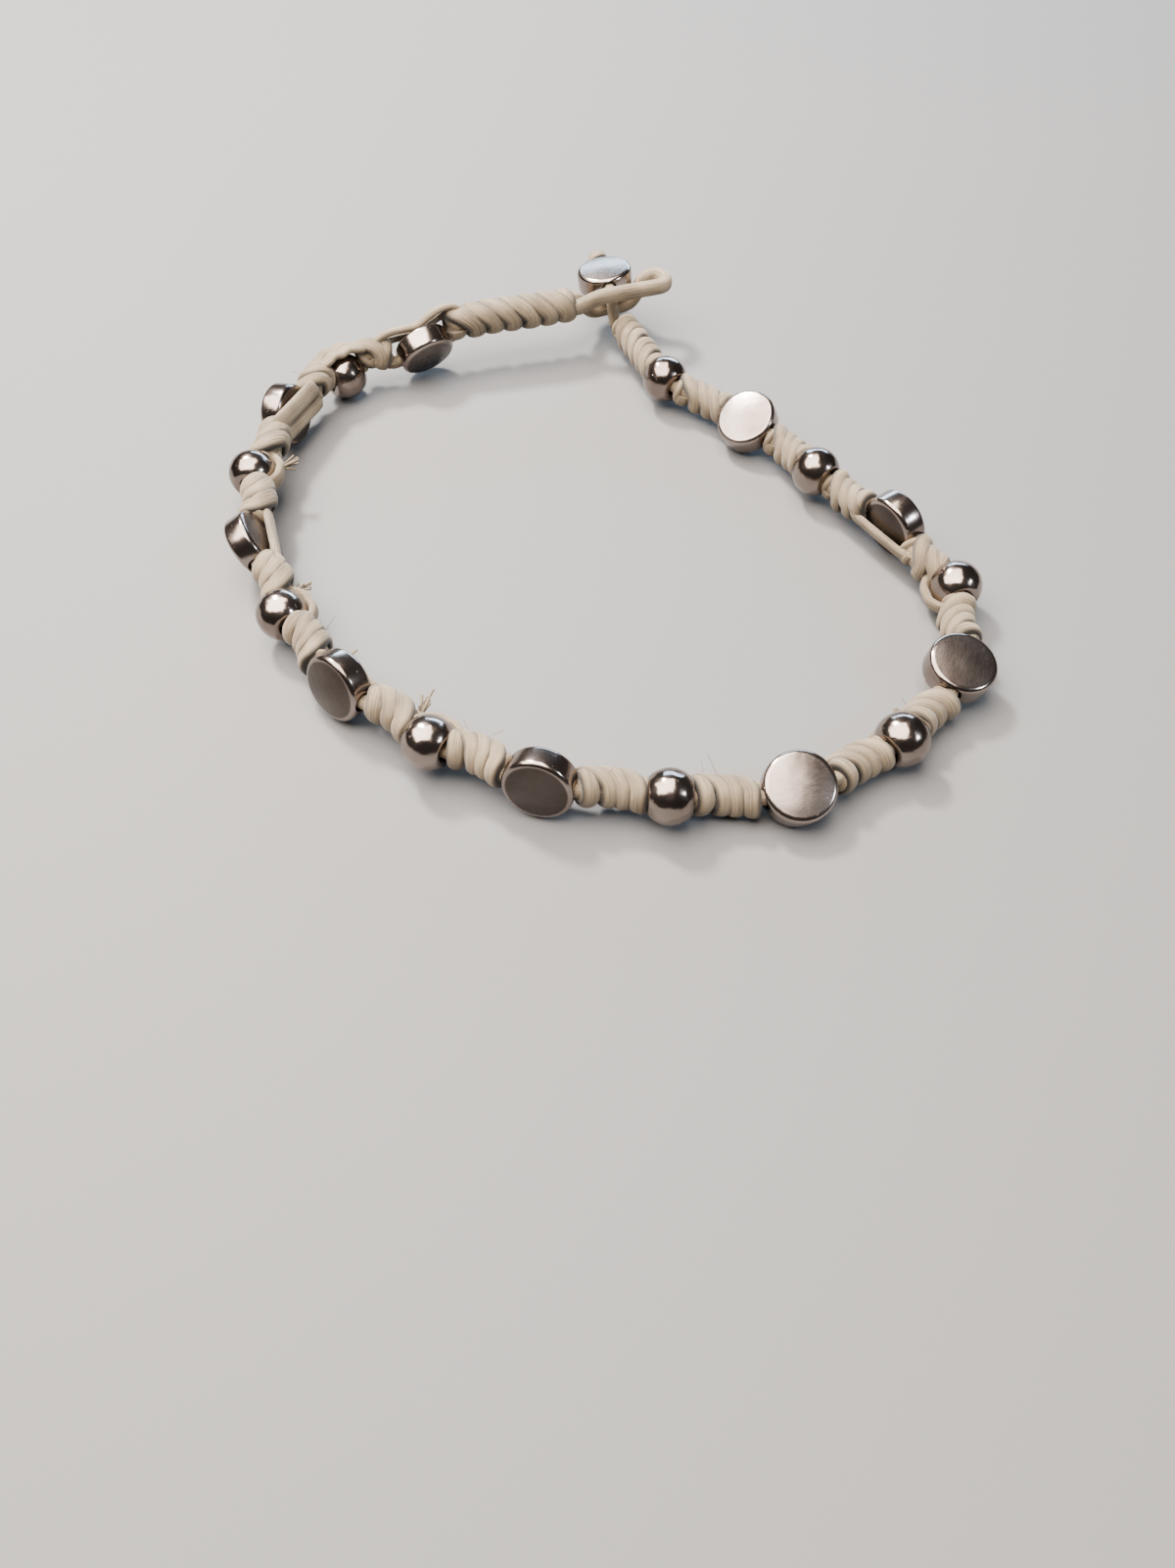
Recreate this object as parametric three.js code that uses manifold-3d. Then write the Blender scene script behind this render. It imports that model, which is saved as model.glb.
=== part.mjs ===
// Beaded cord bracelet, fastened and lying on a table.
// Millimetres, +Z up, the table top at z = 0. The strand runs clockwise as seen from above: from the
// button at the back, down the right side, along the front, up the left side and back to the loop.
import * as THREE from 'three';
import { mergeVertices } from 'three/addons/utils/BufferGeometryUtils.js';
import Module from 'manifold-3d';

const wasm = await Module();
wasm.setup();

// ---- driving dimensions ----------------------------------------------------------------------
const DISC = { diameter: 5.0, thickness: 2.3, edge: 0.35, sides: 16 };       // coin bead
const ROUND = { diameter: 3.85, length: 3.0, endDiameter: 2.3, sides: 14 };  // barrel-round bead
const HOLE = 1.3;              // drilled through every bead
const CORD = 1.0;              // waxed cord, both strands
const CHANNEL = 1.24;          // room that a knot leaves round the thread
const CORD_SIDES = 8;
const KNOT = { crest: 1.34, valley: 1.12, end: 1.18, pitch: 1.1, slant: 0.24, sides: 8 };
const TAIL = { crest: 1.5, valley: 1.24, end: 1.3, pitch: 1.7 };
const GAP = 0.12;              // between a bead and the knot beside it
const SEAT = 0.42;             // how far a knot's end sits behind the hole that it meets
const BOW = 0.4;               // how far a knot's middle bows further back
const CLEAR = 0.12;            // between the passing strand and the bead
const ROOM = 0.08;             // that every knot leaves round a bead

// The beads, from the button end to the tail end. side is where the bead stands off the strand and
// face is where a coin's outer face looks, in degrees up from straight outwards; turn is how far the
// hole swings off the line of the strand, and hang is how far the bead drops below it.
const BEADS = [
  { kind: 'round', x: 6.8, y: 17.5, z: 2.4, side: 150, face: 150 },
  { kind: 'disc', x: 13.6, y: 11.6, z: 2.35, side: 124, face: 122 },
  { kind: 'round', x: 18.6, y: 4.9, z: 2.5, side: 145, face: 145 },
  { kind: 'disc', x: 24.0, y: -1.5, z: 2.7, side: 25, face: 8 },
  { kind: 'round', x: 27.7, y: -8.0, z: 2.25, side: 20, face: 20 },
  { kind: 'disc', x: 26.4, y: -16.35, z: 2.4, side: 60, face: 80, turn: 6 },
  { kind: 'round', x: 21.4, y: -22.6, z: 2.15, side: 40, face: 40 },
  { kind: 'disc', x: 13.9, y: -26.7, z: 2.15, side: 48, face: 67, turn: 6 },
  { kind: 'round', x: 5.4, y: -27.5, z: 2.35, side: 38, face: 38 },
  { kind: 'disc', x: -3.1, y: -26.6, z: 2.7, side: 16, face: 9 },
  { kind: 'round', x: -10.7, y: -23.2, z: 2.6, side: 10, face: 10 },
  { kind: 'disc', x: -17.3, y: -18.2, z: 2.75, side: 10, face: 14, turn: -6 },
  { kind: 'round', x: -22.4, y: -11.2, z: 2.5, side: 0, face: 0 },
  { kind: 'disc', x: -25.6, y: -4.0, z: 2.8, side: -14, face: -28 },
  { kind: 'round', x: -27.0, y: 4.1, z: 2.9, side: -5, face: -5 },
  { kind: 'disc', x: -25.6, y: 12.2, z: 2.65, side: -25, face: -8, cords: 2 },
  { kind: 'round', x: -21.5, y: 18.5, z: 2.0, side: -105, face: -105, hang: 0.8, cords: 2 },
  { kind: 'disc', x: -14.6, y: 21.4, z: 2.78, side: -122, face: -150, hang: 0.9, cords: 2 },
];

// The two ends of the strand and the clasp, where the loop lies buttoned over the last coin.
const HEAD = new THREE.Vector3(3.3, 25.6, 2.2);        // the strand's end, under the loop
const TAIL_ROUTE = [[-12.0, 23.1, 4.1], [-9.0, 24.0, 4.3], [-5.0, 24.9, 4.35], [-1.6, 25.9, 4.35]];
const LOOP = { heading: 17, length: 9.9, opening: 1.5, cord: 1.3, lift: 1.1, dip: 2.0, tip: 0.6 };
const BUTTON = { x: 1.6, y: 30.0, z: 4.45, tilt: -6, heading: 100, roll: -6 };
const STOP_KNOT = { diameter: 1.9, length: 1.7, endDiameter: 1.6 };

// ---- materials ----------------------------------------------------------------------------------
const metal = (color, roughness) => new THREE.MeshStandardMaterial({ color, roughness, metalness: 1 });
const fibre = (color) => new THREE.MeshStandardMaterial({ color, roughness: 0.85, metalness: 0 });
const COIN_METAL = metal(0xb9b3ab, 0.28);
const ROUND_METAL = metal(0xc4c0ba, 0.16);
const CORD_FIBRE = fibre(0xbeaf96);
const KNOT_FIBRE = fibre(0xc6b89f);

// ---- helpers --------------------------------------------------------------------------------------
const UP = new THREE.Vector3(0, 0, 1);
const radians = THREE.MathUtils.degToRad;
const along = (from, direction, distance) => from.clone().addScaledVector(direction, distance);

function toSolid(geometry) {
  const bare = geometry.clone().deleteAttribute('normal').deleteAttribute('uv');
  const merged = mergeVertices(bare, 1e-5);
  return new wasm.Manifold(new wasm.Mesh({
    numProp: 3,
    vertProperties: new Float32Array(merged.attributes.position.array),
    triVerts: new Uint32Array(merged.index.array),
  }));
}

function toGeometry(solid) {
  const mesh = solid.getMesh();
  const geometry = new THREE.BufferGeometry();
  geometry.setAttribute('position', new THREE.BufferAttribute(new Float32Array(mesh.vertProperties), 3));
  geometry.setIndex(new THREE.BufferAttribute(new Uint32Array(mesh.triVerts), 1));
  geometry.computeVertexNormals();
  return geometry;
}

// A route that a tube follows with one section at each of its points.
class Route extends THREE.Curve {
  constructor(points) {
    super();
    this.points = points;
  }

  getPoint(t, target = new THREE.Vector3()) {
    const place = t * (this.points.length - 1);
    const first = Math.min(Math.floor(place + 1e-9), this.points.length - 2);
    return target.copy(this.points[first]).lerp(this.points[first + 1], place - first);
  }

  getTangent(t, target = new THREE.Vector3()) {
    const last = this.points.length - 1;
    const place = Math.round(t * last);
    const before = this.points[Math.max(place - 1, 0)];
    const after = this.points[Math.min(place + 1, last)];
    const into = this.points[place].clone().sub(before).normalize();
    const outOf = after.clone().sub(this.points[place]).normalize();
    return target.copy(into.add(outOf)).normalize();
  }

  getPointAt(u, target) {
    return this.getPoint(u, target);
  }

  getTangentAt(u, target) {
    return this.getTangent(u, target);
  }
}

function tube(points, diameter, sides = CORD_SIDES) {
  const section = new THREE.Shape();
  for (let i = 0; i < sides; i += 1) {
    const turn = (i / sides) * 2 * Math.PI;
    section[i ? 'lineTo' : 'moveTo'](Math.cos(turn) * diameter / 2, Math.sin(turn) * diameter / 2);
  }
  const route = new Route(points);
  return new THREE.ExtrudeGeometry(section, { steps: points.length - 1, extrudePath: route });
}

// ---- the two kinds of bead, drilled along Y, a coin's axis along X --------------------------------
function coinBlank(extra = 0) {
  const { edge, sides } = DISC;
  const half = DISC.thickness / 2 + extra;
  const radius = DISC.diameter / 2 + extra;
  const profile = [
    [0, -half], [radius - edge, -half], [radius, -half + edge],
    [radius, half - edge], [radius - edge, half], [0, half],
  ].map(([r, y]) => new THREE.Vector2(r, y));
  return new THREE.LatheGeometry(profile, sides).rotateZ(Math.PI / 2);
}

function barrelBlank({ diameter, length, endDiameter }, extra = 0) {
  const steps = 6;
  const half = length / 2 + extra;
  const profile = [new THREE.Vector2(0, -half)];
  for (let i = 0; i <= steps; i += 1) {
    const t = -1 + (2 * i) / steps;
    const swell = ((diameter - endDiameter) / 2) * Math.sqrt(1 - t * t);
    profile.push(new THREE.Vector2(endDiameter / 2 + extra + swell, t * half));
  }
  profile.push(new THREE.Vector2(0, half));
  return new THREE.LatheGeometry(profile, ROUND.sides);
}

function drilled(blank) {
  const drill = new THREE.CylinderGeometry(HOLE / 2, HOLE / 2, 2 * DISC.diameter, 12);
  return toGeometry(toSolid(blank).subtract(toSolid(drill)));
}

// ---- where each bead lies --------------------------------------------------------------------------
function headingFrame(tangent) {
  const t = tangent.clone().normalize();
  const outward = UP.clone().cross(t).normalize();
  const up = t.clone().cross(outward);
  return { t, outward, up };
}

function placeBead(row, before, after) {
  const centre = new THREE.Vector3(row.x, row.y, row.z);
  const { t, outward, up } = headingFrame(after.clone().sub(before));
  const towards = (degrees) => outward.clone().multiplyScalar(Math.cos(radians(degrees)))
    .addScaledVector(up, Math.sin(radians(degrees)));
  const turn = radians(row.turn ?? 0);
  const flat = towards(row.face);
  const face = flat.clone().multiplyScalar(Math.cos(turn)).addScaledVector(t, Math.sin(turn));
  const bore = t.clone().multiplyScalar(Math.cos(turn)).addScaledVector(flat, -Math.sin(turn));
  const half = row.kind === 'disc' ? DISC.diameter / 2 : ROUND.length / 2;
  const corner = row.kind === 'disc' ? (DISC.thickness / 2) * Math.abs(Math.sin(turn)) : 0;
  const hang = row.hang ?? SEAT;
  const reach = half + corner + GAP + 1.6 * (hang - SEAT);
  return { ...row, centre, side: towards(row.side), face, bore, half, hang, reach };
}

const centres = BEADS.map(({ x, y, z }) => new THREE.Vector3(x, y, z));
const tailPoints = TAIL_ROUTE.map((point) => new THREE.Vector3(...point));
const beads = BEADS.map((row, i) => placeBead(row, centres[i - 1] ?? HEAD, centres[i + 1] ?? tailPoints[0]));

// The end of a knot beside a bead: on the button's side (-1) or on the tail's side (+1) of it.
function knotEnd(bead, way) {
  return along(along(bead.centre, bead.bore, way * bead.reach), bead.side, -bead.hang);
}

function beadMatrix({ centre, bore, face }) {
  return new THREE.Matrix4().makeBasis(face, bore, face.clone().cross(bore)).setPosition(centre);
}

// The room that a bead needs among the knots.
function beadRoom(bead) {
  const blank = bead.kind === 'disc' ? coinBlank(ROOM) : barrelBlank(ROUND, ROOM);
  return toSolid(blank.applyMatrix4(beadMatrix(bead)));
}

// How far behind a bead's hole the passing strand keeps, a distance forward of the bead's middle and
// a distance aside of the hole.
function strandSetback(bead, forward, aside = 0) {
  const spare = CORD / 2 + CLEAR;
  const t = THREE.MathUtils.clamp(forward / bead.half, -1, 1);
  const fall = (bead.hang - SEAT) * Math.abs(t);
  if (bead.kind === 'disc') {
    const across = bead.bore.clone().cross(bead.side);
    const lean = bead.face.dot(bead.side);
    const slope = aside * bead.face.dot(across) * Math.sign(lean);
    return (DISC.thickness / 2 + spare + slope) / Math.abs(lean) + fall;
  }
  const swell = ((ROUND.diameter - ROUND.endDiameter) / 2) * Math.sqrt(1 - t * t);
  return Math.sqrt((ROUND.endDiameter / 2 + swell + spare) ** 2 - aside ** 2) + fall;
}

// ---- knots -------------------------------------------------------------------------------------------
// A banded sleeve along +Y, bent to the axis that it is given. size is KNOT or TAIL.
function bandedSleeve(axis, size) {
  const length = axis.getLength();
  const bands = Math.max(2, Math.round(length / size.pitch));
  const profile = [new THREE.Vector2(0, 0), new THREE.Vector2(size.end, 0)];
  for (let i = 0; i < bands; i += 1) {
    profile.push(new THREE.Vector2(size.crest, (i + 0.5) / bands));
    if (i < bands - 1) profile.push(new THREE.Vector2(size.valley, (i + 1) / bands));
  }
  profile.push(new THREE.Vector2(size.end, 1), new THREE.Vector2(0, 1));
  const sleeve = new THREE.LatheGeometry(profile, KNOT.sides);
  const place = sleeve.attributes.position;
  for (let i = 0; i < place.count; i += 1) {
    const [x, z] = [place.getX(i), place.getZ(i)];
    const slanted = place.getY(i) + KNOT.slant * (x / length) * 4 * place.getY(i) * (1 - place.getY(i));
    const { t, outward, up } = headingFrame(axis.getTangentAt(slanted));
    const middle = axis.getPointAt(slanted).addScaledVector(up, x).addScaledVector(outward, z);
    place.setXYZ(i, middle.x, middle.y, middle.z);
  }
  return sleeve;
}

function knotAxis(from, to, side, bow) {
  const middle = along(from.clone().lerp(to, 0.5), side, -2 * bow);
  return new THREE.QuadraticBezierCurve3(from, middle, to);
}

const headAxis = knotAxis(HEAD, knotEnd(beads[0], -1), beads[0].side, 0);
const knotAxes = beads.slice(0, -1).map((bead, i) => {
  const side = bead.side.clone().add(beads[i + 1].side).normalize();
  return knotAxis(knotEnd(bead, 1), knotEnd(beads[i + 1], -1), side, BOW);
});
const lastBead = beads[beads.length - 1];
const tailAxis = new THREE.CatmullRomCurve3([knotEnd(lastBead, 1), ...tailPoints], false, 'centripetal');

// ---- clasp -------------------------------------------------------------------------------------------
const loopHeading = new THREE.Vector3(Math.cos(radians(LOOP.heading)), Math.sin(radians(LOOP.heading)), 0);
const loopAcross = UP.clone().cross(loopHeading);

// The loop leaves the tail knot, rises by LOOP.lift along its near strand, turns at its tip and comes
// back along the far strand, which the button holds down by LOOP.dip.
function loopPoints() {
  const start = along(tailPoints[tailPoints.length - 1], loopHeading, 2 * GAP);
  const spread = (LOOP.opening + LOOP.cord) / 2;
  const run = LOOP.length - spread - LOOP.cord / 2;
  const at = (forward, across, up) => along(along(start, loopHeading, forward), loopAcross, across)
    .add(new THREE.Vector3(0, 0, up));
  const points = [at(0, -0.68, 0), at(0.4, -0.7, 0), at(1.1, -0.85, LOOP.lift * 0.3)];
  points.push(at(2.2, -1.1, LOOP.lift * 0.75), at(3.6, -spread, LOOP.lift), at(run - 0.8, -spread, LOOP.lift));
  for (let i = 1; i < 6; i += 1) {
    const turn = -Math.PI / 2 + (i / 6) * Math.PI;
    const height = THREE.MathUtils.lerp(LOOP.lift, LOOP.tip, i / 6);
    points.push(at(run - 0.3 + spread * Math.cos(turn) * 0.9, spread * Math.sin(turn), height));
  }
  points.push(at(run - 0.65, spread, LOOP.tip * 0.4), at(run - 1.15, spread, -LOOP.dip * 0.35));
  points.push(at(run - 1.75, spread, -LOOP.dip * 0.8), at(5.2, spread + 0.1, -LOOP.dip));
  points.push(at(3.6, spread + 0.1, -LOOP.dip), at(2.4, spread, -LOOP.dip * 0.97));
  points.push(at(1.4, 1.15, -LOOP.dip * 0.55), at(0.8, 0.85, -LOOP.dip * 0.2), at(0.4, 0.7, 0), at(0, 0.68, 0));
  return points;
}

const buttonBore = new THREE.Vector3(Math.cos(radians(BUTTON.heading)), Math.sin(radians(BUTTON.heading)), 0)
  .multiplyScalar(Math.cos(radians(BUTTON.tilt))).addScaledVector(UP, Math.sin(radians(BUTTON.tilt)));
const button = {
  centre: new THREE.Vector3(BUTTON.x, BUTTON.y, BUTTON.z),
  bore: buttonBore,
  face: headingFrame(buttonBore).up.applyAxisAngle(buttonBore, radians(BUTTON.roll)),
};

// ---- the thread through everything -----------------------------------------------------------------
// The neck goes from the head knot up through the loop and back into the button.
function threadPoints() {
  const out = (forward, below) => along(along(button.centre, button.bore, forward), button.face, -below);
  const mouth = -DISC.diameter / 2;
  const points = [out(-mouth + GAP + STOP_KNOT.length * 0.8, 0), out(mouth - 0.1, 0)];
  points.push(out(mouth - 0.45, 0.2), out(mouth - 0.65, 0.65), out(mouth - 0.65, 1.4));
  points.push(out(mouth - 0.75, 2.2), out(mouth - 1.1, 2.9));
  points.push(along(HEAD, headAxis.getTangent(0), -0.3), headAxis.getPoint(0.5));
  beads.forEach((bead, i) => {
    const lead = bead.half + (bead.hang > SEAT ? 0.35 : GAP / 2);
    points.push(along(bead.centre, bead.bore, -lead), along(bead.centre, bead.bore, lead));
    const knot = knotAxes[i];
    if (knot) {
      const side = bead.side.clone().add(beads[i + 1].side).normalize();
      if (bead.hang > SEAT) points.push(along(along(knot.getPoint(0), bead.side, 0.3), bead.bore, -0.1));
      points.push(along(knot.getPoint(0.5), side, 0.15));
      if (beads[i + 1].hang > SEAT) {
        points.push(along(along(knot.getPoint(1), beads[i + 1].side, 0.3), beads[i + 1].bore, 0.1));
      }
    }
  });
  points.push(along(along(tailAxis.getPoint(0), lastBead.side, 0.3), lastBead.bore, -0.1));
  return [...points, tailAxis.getPointAt(0.12), tailAxis.getPointAt(0.3)];
}

const thread = threadPoints();
const channel = toSolid(tube(thread, CHANNEL));

// The knotting cord's free run behind a bead, from inside one knot to just short of the next. Where
// the bead hangs below the strand there are two cords side by side.
function passingStrand(bead) {
  const { half, reach } = bead;
  const across = bead.bore.clone().cross(bead.side);
  const cordAt = (aside) => {
    const at = (forward, inward = 0) => {
      const back = strandSetback(bead, forward, aside) - inward;
      return along(along(along(bead.centre, bead.bore, forward), bead.side, -back), across, aside);
    };
    return toSolid(tube([
      at(-reach - 0.8, 0.3), at(-reach - 0.2, 0.05), at(-half), at(-0.8 * half), at(-0.4 * half),
      at(0), at(0.4 * half), at(0.8 * half),
    ], CORD, 6));
  };
  return bead.cords === 2 ? cordAt(-0.45 * CORD).add(cordAt(0.45 * CORD)) : cordAt(0);
}

function knotSolid(axis, size, before, next) {
  let solid = toSolid(bandedSleeve(axis, size));
  if (next) solid = solid.add(passingStrand(next));
  for (const bead of [before, next]) {
    if (bead) solid = solid.subtract(beadRoom(bead));
  }
  return solid.subtract(channel);
}

// ---- assembly --------------------------------------------------------------------------------------
const group = new THREE.Group();

function addMesh(name, geometry, material) {
  const mesh = new THREE.Mesh(geometry, material);
  mesh.name = name;
  group.add(mesh);
  return mesh;
}

const shapes = { disc: drilled(coinBlank()), round: drilled(barrelBlank(ROUND)) };
const counts = { disc: 0, round: 0 };
for (const bead of beads) {
  counts[bead.kind] += 1;
  const material = bead.kind === 'disc' ? COIN_METAL : ROUND_METAL;
  const mesh = addMesh(`${bead.kind}_bead_${counts[bead.kind]}`, shapes[bead.kind], material);
  mesh.applyMatrix4(beadMatrix(bead));
}
addMesh('button_bead', shapes.disc, COIN_METAL).applyMatrix4(beadMatrix(button));

const stopCentre = along(button.centre, button.bore, DISC.diameter / 2 + GAP + STOP_KNOT.length / 2);
addMesh('stop_knot', drilled(barrelBlank(STOP_KNOT)), KNOT_FIBRE)
  .applyMatrix4(beadMatrix({ ...button, centre: stopCentre }));

addMesh('bead_thread', tube(thread, CORD), CORD_FIBRE);
addMesh('head_knot', toGeometry(knotSolid(headAxis, KNOT, null, beads[0])), KNOT_FIBRE);
knotAxes.forEach((axis, i) => {
  addMesh(`knot_${i + 1}`, toGeometry(knotSolid(axis, KNOT, beads[i], beads[i + 1])), KNOT_FIBRE);
});
addMesh('tail_knot', toGeometry(knotSolid(tailAxis, TAIL, lastBead, null)), KNOT_FIBRE);
addMesh('clasp_loop', tube(loopPoints(), LOOP.cord), CORD_FIBRE);

// The origin is under the middle of the bracelet, on the table.
const box = new THREE.Box3().setFromObject(group, true);
const middle = box.getCenter(new THREE.Vector3());
group.position.set(-middle.x, -middle.y, -box.min.z);
group.updateMatrixWorld(true);

export default group;
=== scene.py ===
# %% [markdown]
# # A knotted cord bracelet with metal beads
#
# The bracelet is one core thread with coin-shaped and round metal beads on it. Between the beads a
# second, flatter cord is wound tightly round the thread, and behind each bead that cord runs free to
# the next knot. One end carries a button bead, and the other ends in a cord loop that goes over it.
#
# All of it could be modelled here from nothing. But the solid model already fixes where everything is,
# so it is loaded first. Each bead and knot below takes its place from the frame and adds only what the
# solids leave out: wound cord, fibres, and metal finishes.

# %% Load the frame
import bpy
import bmesh
import math
import random
from mathutils import Matrix, Vector


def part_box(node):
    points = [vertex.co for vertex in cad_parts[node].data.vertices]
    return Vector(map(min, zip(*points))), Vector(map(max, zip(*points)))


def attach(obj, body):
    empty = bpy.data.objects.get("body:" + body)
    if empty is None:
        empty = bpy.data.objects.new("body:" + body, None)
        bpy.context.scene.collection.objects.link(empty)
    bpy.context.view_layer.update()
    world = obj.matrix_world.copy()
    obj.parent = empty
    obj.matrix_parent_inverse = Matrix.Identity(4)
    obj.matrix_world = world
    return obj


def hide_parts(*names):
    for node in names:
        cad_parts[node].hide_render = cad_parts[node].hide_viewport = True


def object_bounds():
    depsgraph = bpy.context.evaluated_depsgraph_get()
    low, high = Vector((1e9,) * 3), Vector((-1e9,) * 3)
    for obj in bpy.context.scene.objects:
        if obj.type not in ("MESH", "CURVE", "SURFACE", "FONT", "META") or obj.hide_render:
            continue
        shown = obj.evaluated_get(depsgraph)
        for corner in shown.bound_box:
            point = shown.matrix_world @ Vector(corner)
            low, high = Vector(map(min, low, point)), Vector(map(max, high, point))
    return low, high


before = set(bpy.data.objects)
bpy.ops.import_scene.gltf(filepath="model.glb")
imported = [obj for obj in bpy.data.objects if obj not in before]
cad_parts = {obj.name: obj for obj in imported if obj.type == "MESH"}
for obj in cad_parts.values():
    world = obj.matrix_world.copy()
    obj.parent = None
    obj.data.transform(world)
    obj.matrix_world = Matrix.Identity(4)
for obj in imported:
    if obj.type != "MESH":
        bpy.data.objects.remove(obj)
CAD_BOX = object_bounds()
MM = 0.001
UP = Vector((0, 0, 1))
cad_size = [round(v / MM, 1) for v in CAD_BOX[1] - CAD_BOX[0]]
print("frame loaded:", len(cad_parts), "solids, box in mm:", cad_size)

# %% [markdown]
# ## The driving sizes
#
# A jeweller would start from the cord. Everything else follows it: the hole that it fills, the width of
# one turn in a knot, and how far the free run has to go round a bead. These sizes could be measured off
# the solids, but a named size also says what it is for, so they repeat the solid model's own. The finer
# ones, which show only close up, stand in the cells that use them.

# %% Driving sizes in millimetres
COIN = {"diameter": 5.0, "thickness": 2.3}
BARREL = {"diameter": 3.85, "length": 3.0, "end_diameter": 2.3}
HOLE = 1.3
CORD = 1.0
GAP = 0.12  # between a bead and the knot beside it
SEAT = 0.42  # how far a bead's middle stands off the strand
BOW = 0.4  # how far a knot's middle bows to the other side
STOP_KNOT_LENGTH = 1.7
BUTTON = {"tilt": -6, "heading": 100, "roll": -6}  # in degrees
print("coin, round bead and cord across, in mm:", COIN["diameter"], BARREL["diameter"], CORD)

# %% [markdown]
# ## Where each bead looks
#
# On the real bracelet the twist of the cord turns every bead its own way, and no rule gives it. The turns
# could be fitted to the solids' faces, but a short table is easier to read and to change. It is the same
# as the solid model's: `side` is where the bead stands off the strand and `face` is where a coin looks, in
# degrees up from straight outwards. `turn` is how far its hole swings off the strand, `hang` how far it
# drops, and `cords` how many cords run behind it.

# %% The strand's beads, from the button end to the tail end
BEADS = [
    {"node": "round_bead_1", "side": 150, "face": 150},
    {"node": "disc_bead_1", "side": 124, "face": 122},
    {"node": "round_bead_2", "side": 145, "face": 145},
    {"node": "disc_bead_2", "side": 25, "face": 8},
    {"node": "round_bead_3", "side": 20, "face": 20},
    {"node": "disc_bead_3", "side": 60, "face": 80, "turn": 6},
    {"node": "round_bead_4", "side": 40, "face": 40},
    {"node": "disc_bead_4", "side": 48, "face": 67, "turn": 6},
    {"node": "round_bead_5", "side": 38, "face": 38},
    {"node": "disc_bead_5", "side": 16, "face": 9},
    {"node": "round_bead_6", "side": 10, "face": 10},
    {"node": "disc_bead_6", "side": 10, "face": 14, "turn": -6},
    {"node": "round_bead_7", "side": 0, "face": 0},
    {"node": "disc_bead_7", "side": -14, "face": -28},
    {"node": "round_bead_8", "side": -5, "face": -5},
    {"node": "disc_bead_8", "side": -25, "face": -8, "cords": 2},
    {"node": "round_bead_9", "side": -105, "face": -105, "hang": 0.8, "cords": 2},
    {"node": "disc_bead_9", "side": -122, "face": -150, "hang": 0.9, "cords": 2},
]
print("beads in the table:", len(BEADS))

# %% [markdown]
# ## From the table to places and directions
#
# A bead sits on the strand with its hole along it. Each could be an empty object that a mesh is parented
# to, but plain vectors are easier to reuse when the knots and the free runs need the same directions. The
# strand's direction at a bead is the line between the middles of its two neighbours.
#
# The route's own points are written in the numbers of the solid model, before it was moved to the middle
# of its box. Its first bead tells how far that move was.

# %% Lay the beads and the button
FIRST_BEAD = Vector((6.8, 17.5, 2.4))
HEAD = (3.3, 25.6, 2.2)
TAIL_ROUTE = [(-12.0, 23.1, 4.1), (-9.0, 24.0, 4.3), (-5.0, 24.9, 4.35), (-1.6, 25.9, 4.35)]
HANG_ROOM = 1.6  # for each millimetre that a bead hangs lower, how much further off its knots stay


def node_middle(node):
    low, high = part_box(node)
    return (low + high) / 2 / MM


SHIFT = node_middle("round_bead_1") - FIRST_BEAD


def place(x, y, z):
    return Vector((x, y, z)) + SHIFT


def heading_frame(tangent):
    """The tangent's own direction, the level one outwards from it, and the one upwards."""
    t = tangent.normalized()
    outward = UP.cross(t).normalized()
    return t, outward, t.cross(outward)


def level(degrees):
    """The level direction that is so many degrees from X."""
    angle = math.radians(degrees)
    return Vector((math.cos(angle), math.sin(angle), 0))


def lay_bead(row, before, after):
    """One bead's place, size and directions, from its row and its neighbours' middles."""
    t, outward, up = heading_frame(after - before)
    turn = math.radians(row.get("turn", 0))

    def towards(degrees):
        angle = math.radians(degrees)
        return outward * math.cos(angle) + up * math.sin(angle)

    flat = towards(row["face"])
    coin = row["node"].startswith("disc")
    half = COIN["diameter"] / 2 if coin else BARREL["length"] / 2
    corner = COIN["thickness"] / 2 * abs(math.sin(turn)) if coin else 0
    hang = row.get("hang", SEAT)
    return {
        "node": row["node"], "coin": coin, "half": half, "hang": hang, "side": towards(row["side"]),
        "cords": row.get("cords", 1), "side_angle": math.radians(row["side"]),
        "centre": node_middle(row["node"]),
        "face": flat * math.cos(turn) + t * math.sin(turn),
        "bore": t * math.cos(turn) - flat * math.sin(turn),
        "reach": half + corner + GAP + HANG_ROOM * (hang - SEAT),
    }


def lay_button():
    tilt = math.radians(BUTTON["tilt"])
    bore = level(BUTTON["heading"]) * math.cos(tilt) + UP * math.sin(tilt)
    face = Matrix.Rotation(math.radians(BUTTON["roll"]), 3, bore) @ heading_frame(bore)[2]
    return {"node": "button_bead", "centre": node_middle("button_bead"), "bore": bore, "face": face}


centres = [place(*HEAD)] + [node_middle(row["node"]) for row in BEADS] + [place(*TAIL_ROUTE[0])]
beads = [lay_bead(row, centres[i], centres[i + 2]) for i, row in enumerate(BEADS)]
button = lay_button()
print("beads laid:", len(beads), "and the button, shift in mm:", [round(v, 3) for v in SHIFT])

# %% [markdown]
# ## A short way to write node trees
#
# Node trees could be built line by line, with a new node and a link for every step. They are easier to
# read as sums. `Signal` wraps one output socket, so that `a * b + c` adds its Math nodes, and `Graph.add`
# makes any other node from its type, its settings and what goes into it. Both serve the Geometry Nodes
# trees and the materials.

# %% Node helpers
MIXED_COLOR = 2  # a Mix node has one result for each type of data, and the colour's is the third


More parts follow.
